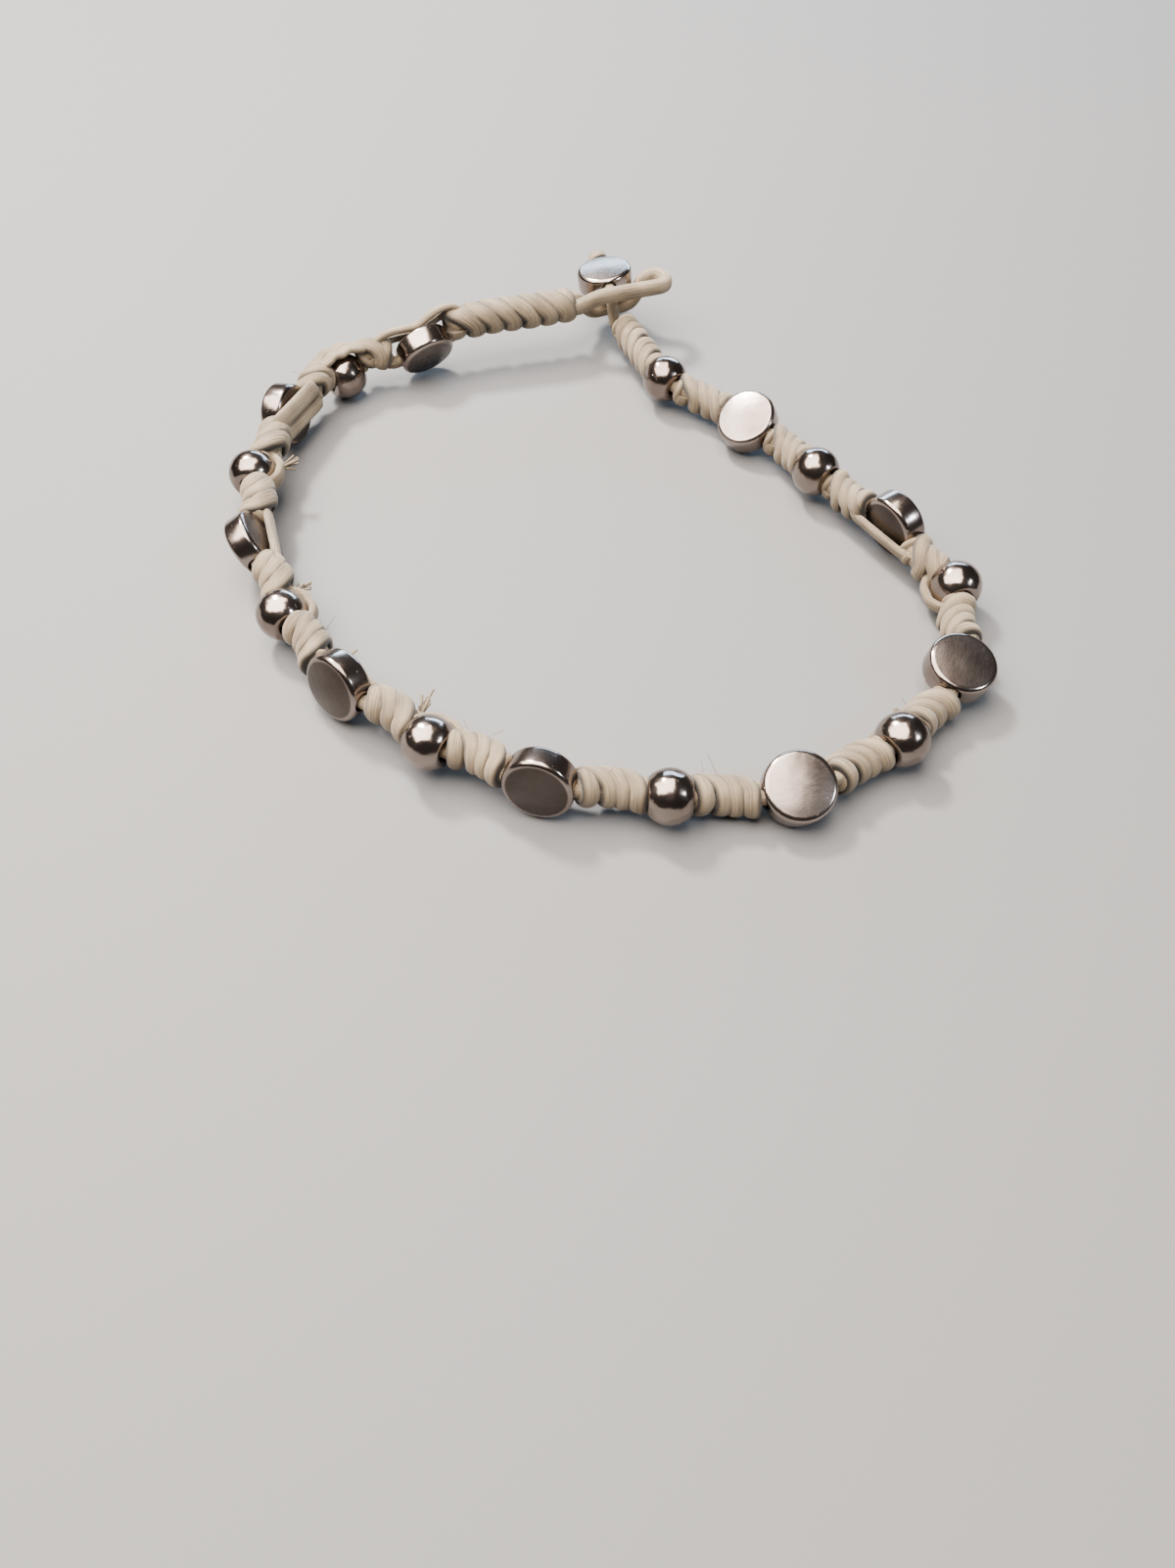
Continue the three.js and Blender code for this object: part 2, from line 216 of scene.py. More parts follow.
class Signal:
    def __init__(self, graph, node, output=0):
        self.graph = graph
        self.node = node
        self.socket = node.outputs[output] if node.outputs else None

    def out(self, output):
        return Signal(self.graph, self.node, output)

    def math(self, operation, *others, clamp=False):
        values = dict(enumerate((self, *others)))
        return self.graph.add("ShaderNodeMath", {"operation": operation, "use_clamp": clamp}, values)

    def __add__(self, other):
        return self.math("ADD", other)

    def __sub__(self, other):
        return self.math("SUBTRACT", other)

    def __mul__(self, other):
        return self.math("MULTIPLY", other)

    def __pow__(self, other):
        return self.math("POWER", other)

    def __rsub__(self, other):
        return self.graph.add("ShaderNodeMath", {"operation": "SUBTRACT"}, {0: other, 1: self})

    __radd__ = __add__
    __rmul__ = __mul__


class Graph:
    def __init__(self, tree):
        self.tree = tree

    def add(self, kind, settings=None, inputs=None, output=0):
        node = self.tree.nodes.new(kind)
        for name, value in (settings or {}).items():
            if name == "stops":
                self.set_stops(node.color_ramp, value)
            elif name == "capture":
                node.capture_items.new(value, "Value")
            else:
                setattr(node, name, value)
        for key, value in (inputs or {}).items():
            self.feed(node.inputs[key], value)
        return Signal(self, node, output)

    def feed(self, socket, value):
        if isinstance(value, Signal):
            self.tree.links.new(value.socket, socket)
        else:
            socket.default_value = value

    @staticmethod
    def set_stops(ramp, stops):
        while len(ramp.elements) < len(stops):
            ramp.elements.new(0.5)
        for element, (position, color) in zip(ramp.elements, stops):
            element.position = position
            element.color = (*color, 1)

    def vector(self, operation, *values, scale=None):
        feeds = dict(enumerate(values))
        if scale is not None:
            feeds["Scale"] = scale
        return self.add("ShaderNodeVectorMath", {"operation": operation}, feeds)

    def noise(self, where, **values):
        return self.add("ShaderNodeTexNoise", None, {"Vector": where, **values})

    def attribute(self, name, output):
        return self.add("ShaderNodeAttribute", {"attribute_name": name}, output=output)

    def mix_colors(self, share, first, second):
        values = {"Factor": share, "A": first, "B": second}
        return self.add("ShaderNodeMix", {"data_type": "RGBA"}, values, output=MIXED_COLOR)


def new_material(name):
    material = bpy.data.materials.new(name)
    material.use_nodes = True
    material.node_tree.nodes.clear()
    return material, Graph(material.node_tree)


def finish_material(graph, **sockets):
    """Ends a material in one shader, with an underscore for each space in a socket's name."""
    values = {name.replace("_", " "): value for name, value in sockets.items()}
    shader = graph.add("ShaderNodeBsdfPrincipled", None, values)
    graph.add("ShaderNodeOutputMaterial", None, {"Surface": shader})


print("node helpers ready")

# %% [markdown]
# ## Waxed cord
#
# The cord is a bundle of fine parallel fibres with wax on them, so it looks brushed along its length and
# barely shiny. A plain noise would make it look like stone, because its grain has no direction. So the
# cord pieces carry an attribute, `strand`, that says where a point is round and along its own cord. Noise
# that is stretched along it gives the fibres, whatever way the cord winds. A second attribute marks the
# edges of a wound cord, which sit deep between two turns, and there a painted shade darkens the colour
# nearly to black, for the shade that the turns cast on each other.

# %% Cord materials
FINE_FIBRES = {"across": 7.0, "lengthwise": 0.5}
BROAD_FIBRES = {"across": 4.2, "lengthwise": 0.3}
FIBRE_NOISE = {"Scale": 1.0, "Detail": 2.0, "Roughness": 0.6}
PATCH_NOISE = {"Scale": 380.0, "Detail": 3.0}
STREAK_WEIGHT = 0.35  # of each of the three noises
DARK_BELOW = 0.42
LIGHT_ABOVE = 0.64
FIBRE_HEIGHT = 0.07  # in millimetres
CORD_ROUGHNESS = {"least": 0.55, "fibres": 0.25}
CORD_GLOSS = {"Sheen_Weight": 0.15, "Sheen_Roughness": 0.5, "Specular_IOR_Level": 0.35}


def cord_material(name, light, dark, groove):
    material, graph = new_material(name)
    strand = graph.attribute("strand", "Vector")
    spread = graph.add("ShaderNodeTexCoord", output="Object")

    def fibres(across, lengthwise):
        stretched = graph.vector("MULTIPLY", strand, (across, across, lengthwise))
        return graph.noise(stretched, **FIBRE_NOISE)

    fine = fibres(**FINE_FIBRES)
    broad = fibres(**BROAD_FIBRES)
    patches = graph.noise(spread, **PATCH_NOISE)
    streak = fine * STREAK_WEIGHT + broad * STREAK_WEIGHT + patches * STREAK_WEIGHT
    stops = [(DARK_BELOW, dark), (LIGHT_ABOVE, light)]
    color = graph.add("ShaderNodeValToRGB", {"stops": stops}, {"Fac": streak})
    # Painted shade: in the grooves between turns the colour goes to a near black, for the shade the turns
    # cast.
    groove_shaded = graph.mix_colors(graph.attribute("groove", "Fac"), color, (*groove, 1))
    height = {"Strength": 1.0, "Distance": FIBRE_HEIGHT * MM, "Height": fine + broad}
    relief = graph.add("ShaderNodeBump", None, height)
    rough = CORD_ROUGHNESS["least"] + fine * CORD_ROUGHNESS["fibres"]
    finish_material(graph, Base_Color=groove_shaded, Roughness=rough, Normal=relief, **CORD_GLOSS)
    return material


# The last colour of each cord is the painted shade in the grooves between turns.
WOUND_CORD = cord_material(
    "wound_cord", light=(0.245, 0.19, 0.122), dark=(0.10, 0.073, 0.044), groove=(0.006, 0.004, 0.002))
PLAIN_CORD = cord_material(
    "plain_cord", light=(0.25, 0.195, 0.126), dark=(0.105, 0.077, 0.047), groove=(0.05, 0.036, 0.021))
print("cord materials made:", WOUND_CORD.name, "and", PLAIN_CORD.name)

# %% [markdown]
# ## Silver-coloured metal
#
# The coins have satin faces with fine scratches in every direction and rims that rubbing has polished.
# The round beads are polished all over, but their skin is a little uneven, which bends the reflections.
# Both metals are slightly warm, with darker tarnish in patches. The scratches could be modelled, but they
# are far too fine for that, so roughness and bump carry them.
#
# A metal shows what is around it. A coin that stands upright faces the dark side of a room, so its face
# looks much darker than one that lies flat. That dark reflection is painted into the colour of the coin
# faces: an even painted shade on every coin face, and more by the attribute `upright`, which says how
# upright a face stands. The attributes `flat_face` and `on_bead` say which part of a bead a point is on,
# and where.

# %% Metal materials
SCRATCHES = [
    {"degrees": 24, "scale": (1.2, 26, 3)},
    {"degrees": -51, "scale": (1.0, 21, 3)},
    {"degrees": 83, "scale": (1.4, 30, 3)},
]
SCRATCH_NOISE = {"Scale": 1.0, "Detail": 2.0, "Roughness": 0.7}
SCRATCH = {"contrast": 3.0, "roughness": 0.1, "height": 0.05}
WAVE_NOISE = {"Scale": 800.0, "Detail": 1.5}
WAVE_ROUGHNESS = 0.05
PITS = {"scale": 2100.0, "size": 0.09, "depth": 0.35}
TARNISH_NOISE = {"Scale": 260.0, "Detail": 3.0}
TARNISH = {"above": 0.42, "contrast": 2.2, "most": 0.6}
# painted shade on an upright coin face, for the dark room that it reflects
UPRIGHT_PAINTED_SHADE = 0.68
METAL_RELIEF = {"Strength": 0.5, "Distance": 0.05 * MM}


def scratches(graph, where, degrees, scale):
    turned = {"Vector": where, "Rotation": (0, 0, math.radians(degrees)), "Scale": scale}
    return graph.noise(graph.add("ShaderNodeMapping", None, turned), **SCRATCH_NOISE)


def metal_material(name, color, tarnish, face_painted_shade, satin, polish, unevenness):
    """Polished metal, satin on a coin's faces, whose colour a painted shade darkens on all those faces."""
    material, graph = new_material(name)
    where = graph.attribute("on_bead", "Vector")
    flat = graph.attribute("flat_face", "Fac")
    upright = graph.attribute("upright", "Fac")
    spread = graph.add("ShaderNodeTexCoord", output="Object")
    first, second, third = [scratches(graph, where, **row) for row in SCRATCHES]
    even = (first + second + third) * (1 / len(SCRATCHES))
    lines = even.math("SUBTRACT", 0.5) * SCRATCH["contrast"]
    waves = graph.noise(spread, **WAVE_NOISE)
    specks = graph.add("ShaderNodeTexVoronoi", None, {"Vector": spread, "Scale": PITS["scale"]})
    pits = specks.math("LESS_THAN", PITS["size"]) * PITS["depth"]
    patches = graph.noise(spread, **TARNISH_NOISE).math("SUBTRACT", TARNISH["above"], clamp=True)
    mix = (patches * TARNISH["contrast"]).math("MINIMUM", TARNISH["most"])
    base = graph.mix_colors(mix, (*color, 1), (*tarnish, 1))
    # Painted shade on coin faces, evenly and more where one stands upright, for the dark room it reflects.
    shade = 1 - flat * (upright * UPRIGHT_PAINTED_SHADE + face_painted_shade)
    base = graph.vector("SCALE", base, scale=shade)
    rough = polish + flat * (satin - polish) + (lines * flat * SCRATCH["roughness"]) + waves * WAVE_ROUGHNESS
    height = waves * unevenness + lines * flat * SCRATCH["height"] - pits
    relief = graph.add("ShaderNodeBump", None, {**METAL_RELIEF, "Height": height})
    finish_material(graph, Base_Color=base, Metallic=1.0, Roughness=rough, Normal=relief)
    return material


# A coin's faces get an even painted shade, for the dark room they reflect; the round beads have none.
COIN_METAL = metal_material(
    "coin_metal", color=(0.31, 0.26, 0.235), tarnish=(0.11, 0.077, 0.063), face_painted_shade=0.18, satin=0.25,
    polish=0.16, unevenness=1.2)
ROUND_METAL = metal_material(
    "round_metal", color=(0.29, 0.24, 0.213), tarnish=(0.095, 0.067, 0.054), face_painted_shade=0.0, satin=0.14,
    polish=0.15, unevenness=5.0)
print("metal materials made:", COIN_METAL.name, "and", ROUND_METAL.name)

# %% [markdown]
# ## Turning a mesh into a finished piece
#
# Every piece ends the same way: it stands for one solid of the frame and rides on the bracelet's only
# body. That could be written out for each, but one function does it for all, so no piece is forgotten.
# It also presses flat whatever would reach a hair's breadth into the floor, as the cord's own weight does.

# %% Finishing a piece
def add_object(name, data):
    obj = bpy.data.objects.new(name, data)
    bpy.context.scene.collection.objects.link(obj)
    return obj


def finish_piece(mesh, name, node):
    for vertex in mesh.vertices:
        vertex.co.z = max(vertex.co.z, 0)
    piece = add_object(name, mesh)
    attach(piece, "root")
    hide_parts(node)
    return piece


def evaluated_mesh(obj, name):
    """The object's mesh with its modifiers applied, and the object itself removed."""
    shape = obj.evaluated_get(bpy.context.evaluated_depsgraph_get())
    mesh = bpy.data.meshes.new_from_object(shape)
    mesh.name = name
    data = obj.data
    bpy.data.objects.remove(obj)
    (bpy.data.curves if isinstance(data, bpy.types.Curve) else bpy.data.meshes).remove(data)
    return mesh


print("solids that wait for a finished piece:", len(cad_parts))

# %% [markdown]
# ## Spinning and drilling
#
# Both kinds of bead are turned shapes with a hole through them. They could be cut from Blender's own
# sphere and cylinder, but those have neither a soft rim nor a crowned face. So each bead is a profile
# spun round an axis, then drilled. The drill is a cylinder with a wider cone at each mouth, which is the
# polished countersink that keeps a hole from cutting the thread.

# %% Spin and drill
DRILL_SIDES = 40
DRILL_PAST = 1.0  # how far it sticks out of the bead at both ends
COUNTERSINK = {"widening": 1.28, "starts": 0.02, "ends": 0.22}


def spun_mesh(profile, sides):
    """A closed solid of revolution round X, from (along, radius) points that start and end on the axis."""
    bm = bmesh.new()
    rings = []
    for along, radius in profile:
        if radius == 0:
            rings.append([bm.verts.new((along, 0, 0))])
            continue
        angles = [2 * math.pi * i / sides for i in range(sides)]
        rings.append([bm.verts.new((along, radius * math.cos(a), radius * math.sin(a))) for a in angles])
    for first, second in zip(rings, rings[1:]):
        for i in range(sides):
            j = (i + 1) % sides
            near = [first[i % len(first)], first[j % len(first)]]
            far = [second[j % len(second)], second[i % len(second)]]
            bm.faces.new(list(dict.fromkeys(near + far)))
    bmesh.ops.recalc_face_normals(bm, faces=bm.faces)
    mesh = bpy.data.meshes.new("spun")
    bm.to_mesh(mesh)
    bm.free()
    return mesh


def quarter_turn(mesh):
    """Turns what was spun round X to lie along Y, as every hole does."""
    mesh.transform(Matrix.Rotation(math.pi / 2, 4, "Z"))
    return mesh


def drilled_mesh(blank, half):
    """The blank with a hole along Y and a countersink at each of its mouths."""
    mouth = COUNTERSINK["widening"] * HOLE / 2
    tip = half + DRILL_PAST
    entry = [(-tip, 0), (-tip, mouth)]
    entry += [(-half + COUNTERSINK["starts"], mouth), (-half + COUNTERSINK["ends"], HOLE / 2)]
    profile = entry + [(-along, radius) for along, radius in reversed(entry)]
    drill = add_object("drill", quarter_turn(spun_mesh(profile, DRILL_SIDES)))
    bead = add_object("blank", blank)
    cut = bead.modifiers.new("cut", "BOOLEAN")
    cut.operation = "DIFFERENCE"
    cut.solver = "EXACT"
    cut.object = drill
    mesh = evaluated_mesh(bead, "drilled")
    bpy.data.objects.remove(drill)
    return mesh


print("the drill is", HOLE, "mm thick")

# %% [markdown]
# ## The bead forms
#
# A coin has a barely crowned face and a soft rounded rim. A round bead is a ball with its two ends cut
# off, where the hole comes out. Each bead could be worked out anew in its place, but all of a kind are
# alike, so one form of each kind is made and then copied to every place. A form carries the attributes
# that its metal reads.

# %% Coins and round beads
COIN_ROUNDING = {"edge": 0.4, "crown": 0.18}
COIN_SIDES = 72
BARREL_SIDES = 48
BARREL_STEPS = 20
FACE_RINGS = (0, 0.35, 0.7, 0.9)  # where the coin's face has a ring, as a share of its flat part
RIM_STEPS = 6
RIM_EASE = 0.04  # how much flatter than a quarter circle the rim is
END_EASE = {"across": 0.08, "along": 0.05}  # the small round where a round bead's end is cut
FACE_MARGIN = {"across": 0.1, "deep": 0.02}  # what still counts as a coin's flat face
SHARP_ANGLE = 38


def coin_profile():
    half = COIN["thickness"] / 2
    edge, crown = COIN_ROUNDING["edge"], COIN_ROUNDING["crown"]
    flat = COIN["diameter"] / 2 - edge
    face = [(half - crown * share ** 2, share * flat) for share in FACE_RINGS]
    rim = []
    for i in range(RIM_STEPS + 1):
        a = math.pi / 2 * i / RIM_STEPS
        drop = (edge - RIM_EASE) * (1 - math.cos(a))
        rim.append((half - crown - drop, flat + edge * math.sin(a)))
    outer = face + rim
    return outer + [(-along, radius) for along, radius in reversed(outer)]


def barrel_profile():
    """A ball with its two ends cut off, and a small round at each cut."""
    half, radius = BARREL["length"] / 2, BARREL["diameter"] / 2
    end = math.sqrt(radius ** 2 - half ** 2) - END_EASE["across"]
    points = [(-half, 0), (-half, HOLE / 2), (-half, end)]
    for i in range(BARREL_STEPS + 1):
        along = -math.cos(math.pi * i / BARREL_STEPS) * (half - END_EASE["along"])
        points.append((along, math.sqrt(radius ** 2 - along ** 2)))
    return points + [(half, end), (half, HOLE / 2), (half, 0)]


def mark_bead(mesh, coin):
    """Stores where each point is on its bead, in millimetres, and whether it is on a coin's flat face."""
    mesh.attributes.new("on_bead", "FLOAT_VECTOR", "POINT")
    mesh.attributes.new("flat_face", "FLOAT", "POINT")
    where = mesh.attributes["on_bead"]
    flat = mesh.attributes["flat_face"]
    least = COIN["thickness"] / 2 - COIN_ROUNDING["crown"] - FACE_MARGIN["deep"]
    most = COIN["diameter"] / 2 - COIN_ROUNDING["edge"] + FACE_MARGIN["across"]
    for vertex in mesh.vertices:
        x, y, z = vertex.co
        where.data[vertex.index].vector = (y, z, x)
        on_face = coin and abs(x) > least and math.hypot(y, z) < most
        flat.data[vertex.index].value = 1.0 if on_face else 0.0


def bead_form(blank, half, coin, material):
    mesh = drilled_mesh(blank, half)
    mark_bead(mesh, coin)
    mesh.materials.append(material)
    return mesh


def seat_bead(form, bead, name):
    """A copy of the form with its face axis X and its hole Y turned to the bead's, in metres."""
    mesh = form.copy()
    sideways = bead["face"].cross(bead["bore"])
    basis = Matrix((bead["face"], bead["bore"], sideways)).transposed().to_4x4()
    mesh.transform(Matrix.Scale(MM, 4) @ Matrix.Translation(bead["centre"]) @ basis)
    # How upright a coin's face stands, which sets how much painted shade the face gets.
    upright = mesh.attributes.new("upright", "FLOAT", "POINT")
    upright.data.foreach_set("value", [1 - abs(bead["face"].z)] * len(mesh.vertices))
    mesh.shade_smooth()
    mesh.set_sharp_from_angle(angle=math.radians(SHARP_ANGLE))
    return finish_piece(mesh, name, bead["node"])


coin_form = bead_form(spun_mesh(coin_profile(), COIN_SIDES), COIN["diameter"] / 2, True, COIN_METAL)
barrel_blank = quarter_turn(spun_mesh(barrel_profile(), BARREL_SIDES))
barrel_form = bead_form(barrel_blank, BARREL["length"] / 2, False, ROUND_METAL)
for number, bead in enumerate(beads, start=1):
    if bead["coin"]:
        seat_bead(coin_form, bead, f"coin_bead_{number}")
    else:
        seat_bead(barrel_form, bead, f"barrel_bead_{number}")
seat_bead(coin_form, button, "button_coin")
print("beads made:", len(beads) + 1, "faces on a coin:", len(coin_form.polygons))

# %% [markdown]
# ## A cord that can wind
#
# In a knot the cord goes round the thread in turns that touch. Each turn is nearly a flat ring, and in
# the last part of it the cord steps across to the next. A helix would be simpler, but it slants evenly
# all the way and looks like a spring. So the step is built into a Geometry Nodes tree, which takes a path
# and swings a line round it by a number of bands at a radius. With no bands the line is the path itself.
#
# The line leans a little in each turn and strays a little along the path, less so near the ends, and its
# ends are tucked in. Its normal is set to the direction of the swing, which later keeps the flat side of
# the cord towards the middle.

# %% The line that winds
CROSSING = {"starts": 0.7, "share": 0.3, "rise": 0.09}  # in each turn, where the cord steps across
CALM_POWER = 2.5  # how late the lean and the straying fade towards the knot's ends
TUCK_POWER = 14  # how late the radius draws in there
LEAN_CHANGE = {"pace": 3.7, "share": 0.25}  # from one turn to the next
STRAY_PACE = 2.4
FULL_TURN = 2 * math.pi


def hold(graph, geometry, kind, value):
    """Keeps a value on the geometry, to be read after the geometry has changed."""
    values = {"Geometry": geometry, "Value": value}
    return graph.add("GeometryNodeCaptureAttribute", {"capture": kind}, values)


def climb(graph, given, factor):
    """For each point of the line: its turns, its crossing, the turns crossed and its share of the path."""
    bands = given.out("Bands")
    turned = factor * bands
    band = turned.math("FLOOR")
    step = (turned - band).math("SUBTRACT", CROSSING["starts"]) * (1 / CROSSING["share"])
    step = step.math("ADD", 0.0, clamp=True)
    step = step * step * (3 - 2 * step)
    crossed = (band + step).math("MINIMUM", bands - 1)
    plain = bands.math("LESS_THAN", 0.5)
    share = (crossed + 0.5).math("DIVIDE", bands.math("MAXIMUM", 1.0))
    return turned, step, crossed, share * (1 - plain) + factor * plain


def slide_along(given, angle, crossed, share):
    """How far a point of the line leans and strays along the path."""
    phase = given.out("Phase")
    calm = 1 - (share * 2 - 1.0).math("ABSOLUTE") ** CALM_POWER
    uneven = 1 + (crossed * LEAN_CHANGE["pace"] + phase).math("SINE") * LEAN_CHANGE["share"]
    lean = angle.math("COSINE") * given.out("Lean") * calm * uneven
    stray = (crossed * STRAY_PACE + phase * 2).math("SINE") * given.out("Wobble") * calm
    return lean + stray


def winding_line(graph, given):
    """The line as a curve that holds its length so far, and the middle of the band at each point."""
    path = graph.add("GeometryNodeSetCurveNormal", {"mode": "Z_UP"}, {"Curve": given.out("Path")})
    line = graph.add("GeometryNodeCurvePrimitiveLine")
    line = graph.add("GeometryNodeResampleCurve", None, {"Curve": line, "Count": given.out("Points")})
    factor = graph.add("GeometryNodeSplineParameter", output="Factor")
    turned, step, crossed, share = climb(graph, given, factor)
    sampling = {"mode": "FACTOR", "use_all_curves": False}
    on_path = graph.add("GeometryNodeSampleCurve", sampling, {"Curves": path, "Factor": share})
    tangent, normal = on_path.out("Tangent"), on_path.out("Normal")
    angle = turned * FULL_TURN + given.out("Phase")
    side = graph.vector("CROSS_PRODUCT", tangent, normal)
    across = graph.vector("SCALE", normal, scale=angle.math("COSINE"))
    radial = graph.vector("ADD", across, graph.vector("SCALE", side, scale=angle.math("SINE")))
    held = hold(graph, line, "VECTOR", radial)
    outward = held.out("Value")
    tucked = 1 - given.out("Tuck") * ((factor * 2 - 1.0).math("ABSOLUTE") ** TUCK_POWER)
    risen = 1 + (step * math.pi).math("SINE") * CROSSING["rise"]
    swing = graph.vector("SCALE", outward, scale=given.out("Radius") * tucked * risen)
    slide = graph.vector("SCALE", tangent, scale=slide_along(given, angle, crossed, share))
    offset = graph.vector("ADD", swing, slide)
    there = graph.vector("ADD", on_path.out("Position"), offset)
    wound = graph.add("GeometryNodeSetPosition", None, {"Geometry": held, "Position": there})
    wound = graph.add("GeometryNodeSetCurveNormal", {"mode": "FREE"}, {"Curve": wound, "Normal": outward})
    length = graph.add("GeometryNodeSplineParameter", output="Length")
    wound = hold(graph, wound, "FLOAT", length)
    return wound, hold(graph, wound, "FLOAT", crossed + 0.5)


print("share of a turn in which the cord steps across:", CROSSING["share"])

# %% [markdown]
# ## The cord's section
#
# A wound cord is pressed flat, with full edges, so two turns meet in a narrow groove. A round section
# would leave wide ones, and a rectangle would have hard corners. So the section is a circle that is
# stretched to the cord's width and made fuller at its edges by a power of its height. The tree sweeps it
# along the line, and stores `strand`, and the painted shade of the grooves between turns, for the cord
# material.

# %% The winding tree
SECTION_POINTS = 24
SECTION_POWER = 0.78  # 1 would leave an ellipse
# how the painted shade in the grooves between turns grows towards a band's edge
GROOVE = {"starts": 0.5, "contrast": 2.3, "power": 1.3}
GROOVE_ENDS = {"contrast": 2.5, "bare": 0.3}  # the outermost edges of a winding aren't in a groove


def flat_section(graph, given):
    """The flattened section as a curve, and a circle that holds each point's place before that."""
    circle = {"Resolution": SECTION_POINTS, "Radius": 1.0}
    circle = graph.add("GeometryNodeCurvePrimitiveCircle", None, circle)
    place_on = graph.add("GeometryNodeInputPosition")
    split = graph.add("ShaderNodeSeparateXYZ", None, {0: place_on})
    height = split.out("Y").math("ABSOLUTE") ** SECTION_POWER
    height = height * split.out("Y").math("SIGN")
    flattened = graph.add("ShaderNodeCombineXYZ", None, {
        "X": height * given.out("Thickness") * 0.5, "Y": split.out("X") * given.out("Width") * 0.5})
    circle = hold(graph, circle, "VECTOR", place_on)
    section = graph.add("GeometryNodeSetPosition", None, {"Geometry": circle, "Position": flattened})
    return section, circle


def groove_depth(given, band, across):
    """Painted shade: from 0 on a band's back to 1 in the groove beside it, and 0 at the winding's two ends.
    """
    along = band + across * 0.5
    from_end = along.math("MINIMUM", given.out("Bands") - along) * GROOVE_ENDS["contrast"]
    depth = across.math("ABSOLUTE").math("SUBTRACT", GROOVE["starts"], clamp=True) * GROOVE["contrast"]
    depth = (depth ** GROOVE["power"]).math("MINIMUM", 1.0)
    return depth * from_end.math("SUBTRACT", GROOVE_ENDS["bare"], clamp=True)


def store(graph, geometry, name, kind, value):
    settings = {"data_type": kind, "domain": "POINT"}
    values = {"Geometry": geometry, "Name": name, "Value": value}
    return graph.add("GeometryNodeStoreNamedAttribute", settings, values)


def open_tree(name, sockets, result):
    """An empty Geometry Nodes tree, and the identifiers of its inputs by their names."""
    tree = bpy.data.node_groups.new(name, "GeometryNodeTree")
    inputs = {}
    for label, kind in sockets.items():
        socket = tree.interface.new_socket(label, in_out="INPUT", socket_type=f"NodeSocket{kind}")
        inputs[label] = socket.identifier
    tree.interface.new_socket(result, in_out="OUTPUT", socket_type="NodeSocketGeometry")
    return tree, inputs


def close_tree(graph, geometry, finish):
    """Ends a tree in a plain mesh of one material."""
    whole = graph.add("GeometryNodeRealizeInstances", None, {"Geometry": geometry})
    whole = graph.add("GeometryNodeSetMaterial", None, {"Geometry": whole, "Material": finish})
    graph.add("NodeGroupOutput", None, {0: whole})


def winding_tree():
    sizes = ("Bands", "Radius", "Width", "Thickness", "Lean", "Wobble", "Phase", "Tuck")
    sockets = {"Path": "Geometry", "Points": "Int", **dict.fromkeys(sizes, "Float"), "Finish": "Material"}
    tree, inputs = open_tree("wind_cord", sockets, "Cord")
    graph = Graph(tree)
    given = graph.add("NodeGroupInput")
    wound, banded = winding_line(graph, given)
    section, circle = flat_section(graph, given)
    sweep = {"Curve": banded, "Profile Curve": section, "Fill Caps": True}
    cord = graph.add("GeometryNodeCurveToMesh", None, sweep)
    at = graph.add("ShaderNodeSeparateXYZ", None, {0: circle.out("Value")})
    millimetres = wound.out("Value") * 1000
    strand = graph.add("ShaderNodeCombineXYZ", None, {"X": at.out("X"), "Y": at.out("Y"), "Z": millimetres})
    cord = store(graph, cord, "strand", "FLOAT_VECTOR", strand)
    # The painted shade in the grooves between turns, for the cord material.
    cord = store(graph, cord, "groove", "FLOAT", groove_depth(given, banded.out("Value"), at.out("X")))
    cord = graph.add("GeometryNodeSetShadeSmooth", None, {"Geometry": cord})
    close_tree(graph, cord, given.out("Finish"))
    return tree, inputs


WIND_CORD, WIND_INPUTS = winding_tree()
print("winding tree made, nodes:", len(WIND_CORD.nodes))

# %% [markdown]
# ## Cord from points
#
# A cord starts as a few points in millimetres. They could go straight into a smooth curve object, but
# its handles are hard to foresee, so a curve through the points is worked out first. Then the tree is
# run on it. Its inputs are set by their identifiers, and the result is taken out as a plain mesh.

# %% Cord from points
def grown_mesh(data, name, tree, inputs, values):
    """What a tree makes of a curve or a mesh, as a mesh."""
    obj = add_object(name, data)
    modifier = obj.modifiers.new(name, "NODES")
    modifier.node_group = tree
    for label, value in values.items():
        modifier[inputs[label]] = value
    return evaluated_mesh(obj, name)


def cord_mesh(points, width, thickness, material, samples,
              bands=0, radius=0.0, lean=0.0, wobble=0.0, phase=0.0, tuck=0.0):
    """A mesh of cord along points in millimetres, plain or wound round them in bands."""
    curve = bpy.data.curves.new("path", "CURVE")
    curve.dimensions = "3D"
    spline = curve.splines.new("POLY")
    spline.points.add(len(points) - 1)
    for point, where in zip(spline.points, points):
        point.co = (*(where * MM), 1)
    return grown_mesh(curve, "cord", WIND_CORD, WIND_INPUTS, {
        "Points": samples, "Bands": float(bands), "Radius": radius * MM, "Width": width * MM,
        "Thickness": thickness * MM, "Lean": lean * MM, "Wobble": wobble * MM, "Phase": float(phase),
        "Tuck": float(tuck), "Finish": material,
    })


def joined(meshes):
    """One mesh from several, with their attributes."""
    objects = [add_object("part", mesh) for mesh in meshes]
    with bpy.context.temp_override(active_object=objects[0], selected_editable_objects=objects):
        bpy.ops.object.join()
    mesh = objects[0].data
    bpy.data.objects.remove(objects[0])
    return mesh


